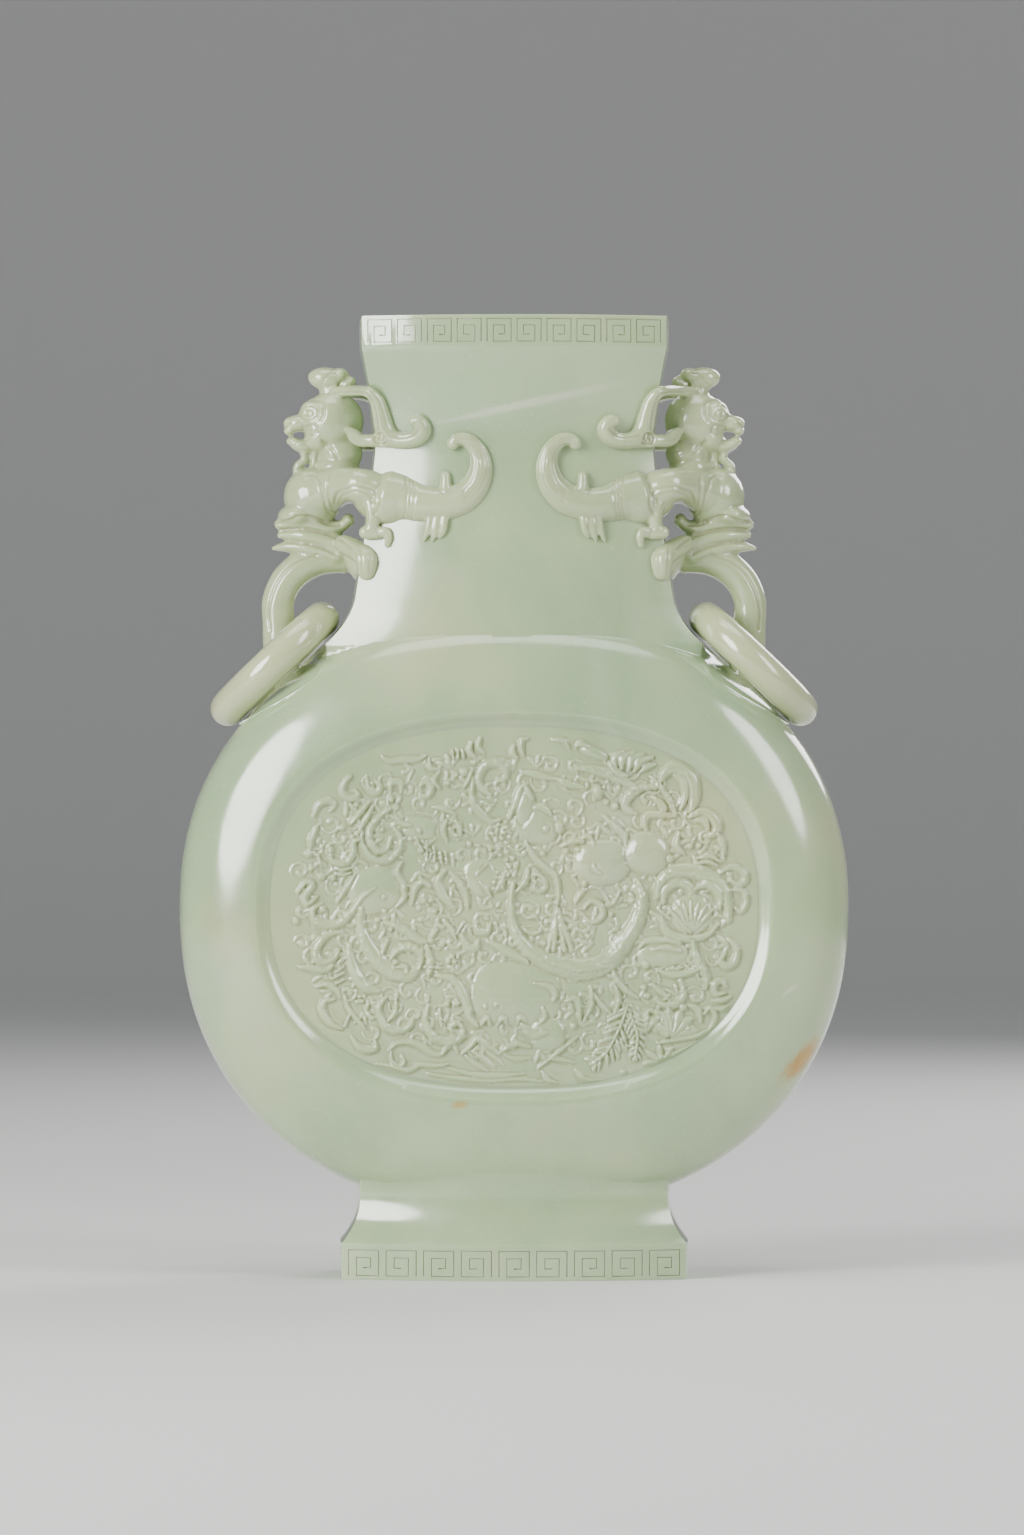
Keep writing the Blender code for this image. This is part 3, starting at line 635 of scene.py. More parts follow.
def hollow_solids():
    """The hollows of the body and the neck, and the shallow one under the foot."""
    half_width = BODY_HALF_WIDTH - BODY_WALL
    points, faces = ball((0, 0, 0), (1, 1, 1), segments=64)
    reach = np.hypot(points[:, 0], points[:, 2])
    turn = np.arctan2(points[:, 2], points[:, 0])
    x, z = oval(turn, half_width, BODY_ABOVE - BODY_WALL, BODY_BELOW - BODY_WALL, OUTLINE_POWER)
    out = reach ** (2 / 3)
    y = (FIELD_LEVEL - NECK_WALL) * signed_power(points[:, 1], 0.75)
    body = write_mesh("body_hollow", np.stack((x * out, y, z * out + BODY_Z), axis=-1), faces)
    wide, deep = neck_sizes(NECK_ROOT_Z)
    wide, deep = wide - NECK_WALL - 1 * MM, deep - NECK_WALL - 1 * MM
    low = pillow(wide, deep, wide - SIDE_BOW, deep - FACE_BOW * 0.75, BODY_Z + 0.72 * BODY_ABOVE)
    neck = loft("neck_hollow", [low] + neck_rows(NECK_WALL))
    wide, deep = FOOT_HALF_WIDTH - FOOT_RIM, FOOT_HALF_DEPTH - FOOT_RIM
    levels = (-FOOT_HOLLOW_DEPTH, FOOT_HOLLOW_DEPTH)
    sections = [pillow(wide, deep, wide - SIDE_BOW, deep - FACE_BOW, z) for z in levels]
    return [body, neck, loft("foot_hollow", sections)]


# Key fret


def key_curve(width, height):
    """One key of the fret as a flat curve: a square hook that winds inwards."""
    a, b = 0.5 * width, 0.5 * height
    corners = (
        (-a, -b), (-a, b), (a, b), (a, -b), (-0.48 * a, -b), (-0.48 * a, 0.42 * b), (0.46 * a, 0.42 * b),
        (0.46 * a, -0.38 * b), (-0.02 * a, -0.38 * b),
    )
    data = bpy.data.curves.new("key", "CURVE")
    data.dimensions = "3D"
    spline = data.splines.new("POLY")
    spline.points.add(len(corners) - 1)
    for point, (x, z) in zip(spline.points, corners):
        point.co = (x, 0.0, z, 1.0)
    thing = bpy.data.objects.new("key", data)
    bpy.context.scene.collection.objects.link(thing)
    return thing


def new_tree(name, inputs):
    """A Geometry Nodes tree with named inputs, and its two end nodes."""
    tree = bpy.data.node_groups.new(name, "GeometryNodeTree")
    tree.interface.new_socket("Geometry", in_out="INPUT", socket_type="NodeSocketGeometry")
    for label, kind in inputs:
        tree.interface.new_socket(label, in_out="INPUT", socket_type=kind)
    tree.interface.new_socket("Geometry", in_out="OUTPUT", socket_type="NodeSocketGeometry")
    return tree, tree.nodes.new("NodeGroupInput"), tree.nodes.new("NodeGroupOutput")


def add_node(tree, kind, settings=(), **values):
    """A node with its settings and the values of its sockets; a socket is given by its name or its place."""
    made = tree.nodes.new(kind)
    for key, value in dict(settings).items():
        setattr(made, key, value)
    for key, value in values.items():
        numbered = key[0] == "i" and key[1:].isdigit()
        socket = made.inputs[int(key[1:]) if numbered else key.replace("_", " ")]
        if isinstance(value, bpy.types.NodeSocket):
            tree.links.new(value, socket)
        else:
            socket.default_value = value
    return made


def math_node(tree, operation, first, second=0.0, third=0.0):
    made = add_node(tree, "ShaderNodeMath", {"operation": operation}, i0=first, i1=second, i2=third)
    return made.outputs[0]


def fret_tree():
    """Repeats one key along a bowed face, every second one mirrored, as round cutters."""
    tree, given, result = new_tree(
        "Key fret",
        (
            ("Count", "NodeSocketInt"),
            ("Pitch", "NodeSocketFloat"),
            ("Groove", "NodeSocketFloat"),
            ("Half Width", "NodeSocketFloat"),
            ("Half Depth", "NodeSocketFloat"),
            ("Bow", "NodeSocketFloat"),
            ("Height", "NodeSocketFloat"),
            ("Stone", "NodeSocketMaterial"),
        ),
    )
    last = math_node(tree, "SUBTRACT", given.outputs["Count"], 1.0)
    start = math_node(tree, "MULTIPLY", math_node(tree, "MULTIPLY", last, given.outputs["Pitch"]), -0.5)
    start_point = add_node(tree, "ShaderNodeCombineXYZ", X=start, Z=given.outputs["Height"])
    step = add_node(tree, "ShaderNodeCombineXYZ", X=given.outputs["Pitch"])
    line = add_node(tree, "GeometryNodeMeshLine", {"mode": "OFFSET"}, Count=given.outputs["Count"])
    tree.links.new(start_point.outputs[0], line.inputs["Start Location"])
    tree.links.new(step.outputs[0], line.inputs["Offset"])
    index = add_node(tree, "GeometryNodeInputIndex")
    odd = math_node(tree, "MODULO", index.outputs[0], 2.0)
    flip = math_node(tree, "MULTIPLY_ADD", odd, -2.0, 1.0)
    scale = add_node(tree, "ShaderNodeCombineXYZ", X=flip, Y=1.0, Z=1.0)
    keys = add_node(
        tree,
        "GeometryNodeInstanceOnPoints",
        Points=line.outputs[0],
        Instance=given.outputs["Geometry"],
        Scale=scale.outputs[0],
    )
    real = add_node(tree, "GeometryNodeRealizeInstances", Geometry=keys.outputs[0])
    place = add_node(tree, "GeometryNodeInputPosition")
    parts = add_node(tree, "ShaderNodeSeparateXYZ", Vector=place.outputs[0])
    share = math_node(tree, "DIVIDE", parts.outputs["X"], given.outputs["Half Width"])
    bowed = math_node(tree, "MULTIPLY", math_node(tree, "MULTIPLY", share, share), given.outputs["Bow"])
    depth = math_node(tree, "SUBTRACT", bowed, given.outputs["Half Depth"])
    bent = add_node(tree, "ShaderNodeCombineXYZ", X=parts.outputs["X"], Y=depth, Z=parts.outputs["Z"])
    laid = add_node(tree, "GeometryNodeSetPosition", Geometry=real.outputs[0], Position=bent.outputs[0])
    radius = math_node(tree, "MULTIPLY", given.outputs["Groove"], 0.5)
    profile = add_node(tree, "GeometryNodeCurvePrimitiveCircle", Resolution=6, Radius=radius)
    swept = add_node(tree, "GeometryNodeCurveToMesh", Curve=laid.outputs[0], Fill_Caps=True)
    tree.links.new(profile.outputs[0], swept.inputs["Profile Curve"])
    whole = add_node(tree, "GeometryNodeRealizeInstances", Geometry=swept.outputs[0])
    tree.links.new(covered(tree, whole, given), result.inputs[0])
    return tree


def covered(tree, whole, given):
    """The finished form with the given stone on it."""
    stone = given.outputs["Stone"]
    return add_node(tree, "GeometryNodeSetMaterial", Geometry=whole.outputs[0], Material=stone).outputs[0]


def with_tree(thing, tree, values):
    """Puts the tree on the thing and sets its inputs by their identifiers."""
    change = thing.modifiers.new(tree.name, "NODES")
    change.node_group = tree
    for item in tree.interface.items_tree:
        if item.in_out == "INPUT" and item.name in values:
            change[item.identifier] = values[item.name]
    return thing


def fret_cutters(tree, stone, count, groove, wide, deep, corner, low, high, turned):
    """The cutters of one face of a band and of the face opposite."""
    pitch = 2 * (corner - FRET_MARGIN) / count
    key = key_curve(pitch * KEY_SHARE, (high - low) - 2 * FRET_MARGIN)
    values = {
        "Count": count,
        "Pitch": pitch,
        "Groove": groove,
        "Half Width": corner,
        "Half Depth": deep - GROOVE_SUNK_SHARE * groove,
        "Bow": deep - wide,
        "Height": 0.5 * (low + high),
        "Stone": stone,
    }
    near = settled(with_tree(key, tree, values), "fret", stone)
    if turned:
        near.data.transform(Matrix.Rotation(math.pi / 2, 4, "Z"))
    far = near.copy()
    far.data = near.data.copy()
    far.data.transform(Matrix.Rotation(math.pi, 4, "Z"))
    bpy.context.scene.collection.objects.link(far)
    return [near, far]


# Stone


def stone_material(name, colours, warmth, mottle, glow):
    """Polished translucent jade: clouds, veils, flecks, the rust stain, and an ochre tint in the hollows that
    is partly warm residue and partly painted shade.
    """
    stone = bpy.data.materials.new(name)
    stone.use_nodes = True
    tree = stone.node_tree
    shader = tree.nodes["Principled BSDF"]
    where = add_node(tree, "ShaderNodeTexCoord").outputs["Object"]
    drift = add_node(tree, "ShaderNodeTexNoise", Vector=where, Scale=11.0, Detail=2.0)
    warped = pushed_by(tree, drift, 0.05, where)
    clouds = add_node(
        tree, "ShaderNodeTexNoise", Vector=warped.outputs[0], Scale=mottle, Detail=5.0, Roughness=0.55
    )
    cloud_share = soft_share(tree, clouds.outputs["Fac"], 0.36, 0.66)
    lean = add_node(
        tree, "ShaderNodeMapping", Vector=warped.outputs[0], Rotation=(0.0, 0.5, 0.0), Scale=(26.0, 14.0, 7.0)
    )
    veils = add_node(
        tree, "ShaderNodeTexNoise", Vector=lean.outputs[0], Scale=1.0, Detail=6.0, Roughness=0.62
    )
    veil_share = soft_share(tree, veils.outputs["Fac"], 0.54, 0.74, most=0.35)
    flecks = add_node(tree, "ShaderNodeTexNoise", Vector=where, Scale=950.0, Detail=1.0)
    fleck_share = add_node(tree, "ShaderNodeMapRange", i0=flecks.outputs["Fac"], i1=0.62, i2=0.80, i4=0.22)
    warm_patch = add_node(tree, "ShaderNodeTexNoise", Vector=warped.outputs[0], Scale=17.0, Detail=3.0)
    warm_share = soft_share(tree, warm_patch.outputs["Fac"], 0.50, 0.72, warmth, min(warmth + 0.45, 1.0))
    colour = mixed(tree, cloud_share.outputs[0], (*colours.pale, 1.0), (*colours.deep, 1.0))
    colour = mixed(tree, warm_share.outputs[0], colour, (*colours.cream, 1.0))
    colour = mixed(tree, veil_share.outputs[0], colour, (0.55, 0.61, 0.425, 1.0))
    colour = mixed(tree, fleck_share.outputs[0], colour, (0.65, 0.67, 0.50, 1.0))
    # Painted shade with warm residue: the hollow attribute pulls creases, engraved cuts and fret grooves
    # towards ochre, so they read darker.
    hollow = add_node(tree, "ShaderNodeAttribute", {"attribute_name": "hollow"})
    tint = add_node(tree, "ShaderNodeMapRange", i0=hollow.outputs["Fac"], i1=0.0, i2=1.0, i4=0.38)
    colour = mixed(tree, tint.outputs[0], colour, (*colours.ochre, 1.0))
    colour = stained(tree, where, colour, colours)
    tree.links.new(colour, shader.inputs["Base Color"])
    shader.inputs["Subsurface Weight"].default_value = 0.75
    shader.inputs["Subsurface Radius"].default_value = (1.0, 1.0, 0.85)
    shader.inputs["Subsurface Scale"].default_value = glow
    shader.inputs["IOR"].default_value = 1.62
    shader.inputs["Coat Weight"].default_value = 0.8
    shader.inputs["Coat IOR"].default_value = 1.6
    shader.inputs["Coat Roughness"].default_value = 0.12
    gloss = add_node(tree, "ShaderNodeTexNoise", Vector=where, Scale=70.0, Detail=4.0)
    rough = add_node(tree, "ShaderNodeMapRange", i0=gloss.outputs["Fac"], i1=0.3, i2=0.7, i3=0.10, i4=0.24)
    tree.links.new(rough.outputs[0], shader.inputs["Roughness"])
    polish = add_node(tree, "ShaderNodeTexNoise", Vector=where, Scale=85.0, Detail=3.0)
    wave = add_node(tree, "ShaderNodeBump", Strength=0.35, Distance=0.0004, Height=polish.outputs["Fac"])
    grain = add_node(tree, "ShaderNodeTexNoise", Vector=where, Scale=1500.0, Detail=2.0)
    skin = add_node(tree, "ShaderNodeBump", Strength=0.10, Distance=0.00006, Height=grain.outputs["Fac"])
    tree.links.new(wave.outputs[0], skin.inputs["Normal"])
    tree.links.new(skin.outputs[0], shader.inputs["Normal"])
    return stone


def pushed_by(tree, noise, reach, where):
    """Places moved by a noise, up to a reach."""
    return add_node(
        tree,
        "ShaderNodeVectorMath",
        {"operation": "MULTIPLY_ADD"},
        i0=noise.outputs["Color"],
        i1=(reach,) * 3,
        i2=where,
    )


def soft_share(tree, noise, low, high, least=0.0, most=1.0):
    """How far a noise lies between two levels, as a smooth step."""
    return add_node(
        tree,
        "ShaderNodeMapRange",
        {"interpolation_type": "SMOOTHSTEP"},
        i0=noise,
        i1=low,
        i2=high,
        i3=least,
        i4=most,
    )


def mixed(tree, share, first, second):
    """One colour over another by a share."""
    made = tree.nodes.new("ShaderNodeMix")
    made.data_type = "RGBA"
    for socket, value in ((made.inputs[0], share), (made.inputs[6], first), (made.inputs[7], second)):
        if isinstance(value, bpy.types.NodeSocket):
            tree.links.new(value, socket)
        else:
            socket.default_value = value
    return made.outputs[2]


def stained(tree, where, colour, colours):
    """Pale veins, an ochre cloud, a rust streak at the right edge and a spot under the field."""
    for centre, sizes, lean, strength, edge, tint in (
        ((4.5, -22.0, 245.5), (34.0, 12.0, 1.7), 0.21, 0.55, 0.9, (0.63, 0.67, 0.52)),
        ((76.8, -24.0, 81.0), (4.5, 12.0, 0.9), 0.65, 0.6, 0.7, (0.63, 0.67, 0.52)),
        ((-80.0, -22.0, 98.0), (10.0, 14.0, 16.0), 0.2, 0.36, 0.9, colours.ochre),
        ((81.0, -20.0, 61.5), (11.0, 13.0, 3.6), 0.80, 0.95, 1.0, colours.rust),
        ((-15.2, -32.0, 49.2), (3.2, 8.0, 1.5), 0.1, 0.6, 0.6, colours.rust),
    ):
        place = add_node(
            tree,
            "ShaderNodeMapping",
            {"vector_type": "TEXTURE"},
            Vector=where,
            Location=tuple(value * MM for value in centre),
            Rotation=(0.0, -lean, 0.0),
            Scale=tuple(value * MM for value in sizes),
        )
        rough = add_node(
            tree, "ShaderNodeTexNoise", Vector=place.outputs[0], Scale=2.2, Detail=5.0, Roughness=0.7
        )
        pushed = pushed_by(tree, rough, edge, place.outputs[0])
        centred = add_node(
            tree,
            "ShaderNodeVectorMath",
            {"operation": "SUBTRACT"},
            i0=pushed.outputs[0],
            i1=(0.5 * edge,) * 3,
        )
        reach = add_node(tree, "ShaderNodeVectorMath", {"operation": "LENGTH"}, i0=centred.outputs[0])
        share = soft_share(tree, reach.outputs["Value"], 1.05, 0.25, most=strength)
        colour = mixed(tree, share.outputs[0], colour, (*tint, 1.0))
    return colour


def set_hollow(thing, share):
    """Stores how deep in a hollow each point lies, which the stone turns into an ochre tint: partly warm
    residue, partly painted shade.
    """
    layer = thing.data.attributes.new("hollow", "FLOAT", "POINT")
    layer.data.foreach_set("value", np.asarray(share, np.float32))


def stone_for(name, warmth, mottle, glow):
    """A stone with its share of cream, the fineness of its clouds and how far light spreads in it."""
    return stone_material(name, bpy.context.scene.vase_colours, warmth, mottle, glow)


# Relief


class Panel:
    """A relief as a height over the sunk field, in millimetres from the field's middle."""

    def __init__(self, x, z):
        self.x, self.z = x, z
        self.height = np.zeros(x.shape)

    def nearest(self, points, widths):
        """Distance to a line as a share of its width there."""
        points = np.asarray(points, float)
        reach = 1.6 * max(widths) + 0.8
        low, high = points.min(axis=0) - reach, points.max(axis=0) + reach
        across = (self.x > low[0]) & (self.x < high[0])
        window = np.nonzero(across & (self.z > low[1]) & (self.z < high[1]))
        x, z = self.x[window], self.z[window]
        share = np.full(x.shape, FAR)
        for i, (start, end) in enumerate(zip(points, points[1:])):
            dx, dz = end - start
            px, pz = x - start[0], z - start[1]
            t = np.clip((px * dx + pz * dz) / max(dx * dx + dz * dz, 1e-9), 0, 1)
            width = widths[i] + (widths[i + 1] - widths[i]) * t
            share = np.minimum(share, np.hypot(px - dx * t, pz - dz * t) / width)
        whole = np.full(self.x.shape, FAR)
        whole[window] = share
        return whole

    def lay(self, share, width, top, over=0.45, ridge=0.0):
        """Lays a rounded or ridged form on what is there, with a fine cut round it."""
        cut = np.clip(1 - np.abs(share - 1) * width / 0.42, 0, 1)
        self.height -= 0.30 * cut * (share > 0.8)
        within = np.minimum(share, 1)
        form = top * ((1 - ridge) * np.sqrt(1 - within**2.4) + ridge * (1 - within))
        base = np.clip(self.height, 0, None) * over
        self.height = np.where(share < 1, np.maximum(base + form, self.height * over), self.height)

    def line(self, points, widths, top=1.0, vein=0.0):
        """A raised band along a smooth line; a vein is a cut down its middle."""
        path = smooth_path([(*point, width) for point, width in zip(points, widths)], 6)
        share = self.nearest(path[:, :2], np.maximum(path[:, 2], 0.12))
        mean = float(np.mean(widths))
        self.lay(share, mean, top, ridge=0.35)
        if vein:
            self.height -= vein * np.exp(-(share * mean / 0.24) ** 2)

    def lump(self, x, z, half_width, half_height, tilt=0.0, top=1.0, flat=2.4):
        """A smooth rounded lump."""
        turn = math.radians(tilt)
        dx, dz = self.x - x, self.z - z
        u = (dx * math.cos(turn) + dz * math.sin(turn)) / half_width
        v = (dz * math.cos(turn) - dx * math.sin(turn)) / half_height
        share = (np.abs(u) ** flat + np.abs(v) ** flat) ** (1 / flat)
        self.lay(share, min(half_width, half_height), top, 0.12)

    def scroll(self, x, z, size, start, sweep, width, top=0.9, vein=0.0):
        """A curl: an arc that tightens into a rolled end."""
        steps = 14
        points, widths = [], []
        for i in range(steps + 1):
            share = i / steps
            angle = math.radians(start + sweep * share)
            radius = size * (1 - 0.72 * share)
            points.append((x + radius * math.cos(angle), z + radius * math.sin(angle)))
            widths.append(width * (0.45 + 0.75 * share))
        self.line(points, widths, top, vein)

    def fan(self, x, z, size, start, sweep, blades, top=1.0, curl=0.5):
        """A leaf of blades that spread from one point."""
        for i in range(blades):
            angle = math.radians(start + sweep * (i / max(blades - 1, 1) - 0.5))
            bend = curl * math.copysign(1, sweep) * (i / max(blades - 1, 1) - 0.5)
            points = []
            for t in (0.12, 0.45, 0.8, 1.0):
                turn = angle + bend * t * t
                points.append((x + size * t * math.cos(turn), z + size * t * math.sin(turn)))
            self.line(points, (0.09 * size, 0.15 * size, 0.17 * size, 0.07 * size), top)


def swept(panel, top, strokes, vein=0.0):
    """Raised bands: each is a half width, then the places it passes. They thin towards both ends."""
    for width, *points in strokes:
        last = len(points) - 1
        swells = [math.sin(math.pi * (0.07 + 0.86 * i / last)) for i in range(last + 1)]
        widths = [width * (0.3 + 0.95 * swell) for swell in swells]
        panel.line(points, widths, top, vein)


def beads(panel, top, places):
    """Small round bosses: each is a place and a radius."""
    for x, z, radius in places:
        panel.lump(x, z, radius, radius, 0, top, 2.0)


def feather(panel, points, reach, count, top=0.8):
    """A leaf of slanting ribs on both sides of a stem."""
    path = smooth_path(points, 8)
    for i in range(count):
        spot = path[int((i + 0.5) / count * (len(path) - 2))]
        ahead = path[int((i + 0.5) / count * (len(path) - 2)) + 1] - spot
        ahead = ahead / math.hypot(*ahead)
        size = reach * (1 - 0.55 * i / count)
        for side in (-1, 1):
            tip = spot + size * (0.72 * ahead + 0.70 * side * np.array((-ahead[1], ahead[0])))
            panel.line([tuple(spot), tuple((spot + tip) / 2), tuple(tip)], (0.35, 0.62, 0.25), top)
    panel.line(points, [0.45] * len(points), top * 1.1)


def curled_ground(panel, half_width, half_height, seed):
    """Small low curls and leaves all over the ground, which the figures lie on."""
    chance = np.random.default_rng(seed)
    step = 5.4
    for row in range(int(-half_height / step), int(half_height / step) + 1):
        for column in range(int(-half_width / step), int(half_width / step) + 1):
            x = (column + 0.5 * (row % 2) + chance.uniform(-0.28, 0.28)) * step
            z = (row + chance.uniform(-0.28, 0.28)) * step * 0.9
            if (x / half_width) ** 2 + (z / half_height) ** 2 > 1:
                continue
            start, sense = chance.uniform(0, 360), chance.choice((-1, 1))
            if chance.random() < 0.6:
                size, sweep = chance.uniform(2.3, 3.3), sense * chance.uniform(240, 400)
                panel.scroll(x, z, size, start, sweep, 0.62, 0.5)
            else:
                panel.fan(x, z, chance.uniform(3.2, 4.4), start, sense * 70, 3, 0.5)


def low_ground(panel):
    """Smooth bodies that the finer forms lie on."""
    panel.lump(0.5, -24.5, 12.5, 8.8, -6, 0.75, 3.0)
    panel.lump(-39, 4.5, 7.4, 6.6, 20, 0.95, 2.6)
    panel.lump(9.5, -35.8, 5.0, 4.6, 0, 0.95, 2.6)
    panel.lump(6.0, 22.5, 6.6, 5.2, -12, 0.9, 2.4)
    panel.lump(2.9, 28.2, 2.6, 5.6, -8, 0.9, 1.7)
    panel.lump(41.5, -13.4, 7.2, 3.5, 4, 0.9, 2.4)
    panel.lump(-26.5, 22.0, 4.6, 3.2, -8, 0.55, 3.0)
    panel.lump(-9.2, 8.0, 4.2, 5.4, 20, 0.6, 2.6)
    panel.lump(22.3, 43.0, 4.4, 1.7, -24, 1.0, 2.2)


def water(panel):
    """Waves and a rock along the foot of the field."""
    swept(panel, 0.6, (
        (0.7, (-24, -46.6), (-16, -48.0), (-8, -48.6), (0, -48.2), (8, -48.8)),
        (0.6, (-20, -44.6), (-12, -46.8), (-5, -47.2), (3, -46.6)),
        (0.6, (-13.6, -41.6), (-10.6, -44.0), (-7.4, -46.0)),
        (0.6, (-11.4, -40.4), (-8.4, -42.6), (-5.4, -45.0)),
        (0.6, (-9.0, -39.2), (-6.2, -41.4), (-3.2, -44.2)),
        (0.6, (-3.0, -41.4), (0.6, -42.6), (4.6, -42.2)),
    ))
    swept(panel, 0.9, (
        (0.8, (-35, -40.2), (-33, -38.4), (-30, -37.8), (-26, -39.0), (-22.6, -41.0), (-20.4, -41.3),
         (-19, -39.5)),
        (0.8, (-20, -41.2), (-18.8, -39.2), (-17, -38.4), (-15.8, -40.8)),
        (0.8, (-14.6, -41.2), (-12, -38.8), (-10.3, -36.8), (-8, -38.5), (-6, -39.6), (-4, -41.0)),
        (0.8, (-4, -41.0), (-2, -39.4), (1, -38.4), (4.6, -39.4)),
        (0.7, (-34.4, -40.4), (-34.2, -43.4), (-32.2, -44.9), (-30.8, -43.4), (-31.6, -41.8)),
        (0.7, (-38.8, -44), (-35, -44.5), (-31, -45.8), (-28.5, -45.5), (-26.5, -44.3), (-22, -44.5),
         (-18.5, -44)),
        (0.8, (17.3, -45.6), (18.8, -47.8), (22, -49.0), (26, -48.4)),
        (0.7, (8, -46.2), (9.4, -48.4), (12, -49.2)),
        (0.6, (17.5, -36.5), (12, -41), (6.5, -45.3)),
        (0.6, (9.6, -42.6), (13, -42.8), (17, -43.6)),
    ))


def creature(panel):
    """The coiled body, the head with its pointed horn and the beaded mane."""
    coil = (
        (-0.4, 6.5, 0.8), (-0.9, 0, 1.1), (0.4, -7, 1.6), (4.4, -12.4, 2.2), (11, -16, 2.8), (19, -17.6, 3.1),
        (26, -15.4, 3.0), (31, -9.4, 2.7), (34.6, -3, 2.2), (35.7, 2.4, 1.7), (34.6, 7.0, 0.9),
    )
    panel.line([point[:2] for point in coil], [point[2] for point in coil], 1.35)
    swept(panel, 0.5, (
        (0.45, (23.6, -15.4), (29.2, -9.6), (33.0, -3.2), (33.9, 1.4)),
        (0.45, (8.4, -15.6), (14, -18.4), (20, -19.2), (26, -17.6)),
    ))
    panel.lump(24.6, 12.2, 8.2, 6.4, 6, 1.35, 2.3)
    panel.lump(37.2, 14.8, 6.3, 6.1, -20, 1.5, 2.2)
    for reach in (9.6, 10.2, 11.4, 12.2):
        places = [(11.9, 0.4), (11.9 + (reach - 10.4) * 1.2, -6), (12 + (reach - 10.6) * 2.6, -12.2)]
        panel.line(places, (0.3, 0.8, 0.7), 0.9)
    swept(panel, 1.0, (
        (0.9, (-1.3, 24.8), (0.2, 29), (1.4, 32.4), (2.9, 34.4)),
        (0.8, (2.9, 34.2), (3.9, 32), (5.4, 29.8)),
        (1.0, (5.6, 27.6), (8.3, 27.7), (10.4, 25.6)),
        (0.8, (3.2, 18.4), (5, 14.6), (8, 11.5), (11.5, 8.5), (12.4, 4), (12, 0.6)),
        (0.8, (3.8, 10.4), (3.1, 7), (0.4, 4)),
        (0.9, (-2.8, 8.8), (-3.6, 6.4), (-5.2, 4.2)),
        (0.9, (25.0, 25.4), (28, 22.6), (30.8, 19.8), (31.2, 17.4)),
        (0.7, (17.6, 18.2), (20.6, 19.6), (22.4, 17.4)),
        (0.9, (13.2, 16.8), (16.2, 18.2), (19.4, 18.0)),
        (0.7, (5.2, 9.2), (7.8, 8.2), (8.8, 5.6), (7.2, 4.2), (5.4, 5.2), (6.0, 7.0)),
        (0.7, (22.2, 12.4), (22.6, 10.2), (24.6, 9.2)),
        (0.6, (24.4, 4.6), (27.2, 0.6), (29.6, 4.4)),
        (0.7, (17.0, 0.8), (18.4, 3.4), (20.0, 4.8)),
        (0.8, (19.4, -0.8), (21.4, 1.4), (24.2, 0.4), (24.6, -2.6), (22.2, -4.4), (19.8, -3.2)),
        (0.6, (4.0, -3.2), (5.6, -2.8), (6.8, -3.8)),
        (0.6, (3.0, -6.4), (5.2, -7.6), (7.6, -6.8)),
    ))
    panel.lump(12.7, 22.0, 1.3, 1.9, 8, 1.3)
    beads(panel, 1.1, (
        (8.9, 21.7, 1.1), (8.1, 14.8, 0.7), (14.5, 15.5, 0.9), (17.7, 15.8, 0.9), (19.6, 6.4, 1.0),
        (16.6, 8.6, 0.7),
        (20.8, -8.3, 0.7), (8.3, -10.3, 0.8), (43.5, 13.3, 1.2), (28.2, 28.0, 1.1), (25.7, 29.0, 0.8),
        (21.8, 35.0, 0.7), (26.0, 34.7, 0.7), (32.8, 1.6, 0.9), (27.0, -2.2, 0.8),
    ))
    panel.lump(23.3, 32.0, 1.5, 2.3, 10, 1.5, 2.0)
    for row, (count, reach) in enumerate(((9, 5.6), (7, 3.9))):
        for i in range(count):
            angle = math.radians(105 - 200 * i / (count - 1))
            x, z = -5.2 + reach * math.cos(angle), 10.6 + reach * math.sin(angle)
            panel.lump(x, z, 0.62, 0.62, 0, 1.1 - 0.1 * row, 2)
    for i in range(14):
        angle = 2.4 * i
        reach = 0.95 * math.sqrt(i + 0.5)
        x, z = -3.6 + 1.25 * reach * math.cos(angle), 20.6 + reach * math.sin(angle)
        panel.lump(x, z, 0.55, 0.55, 0, 1.0, 2)


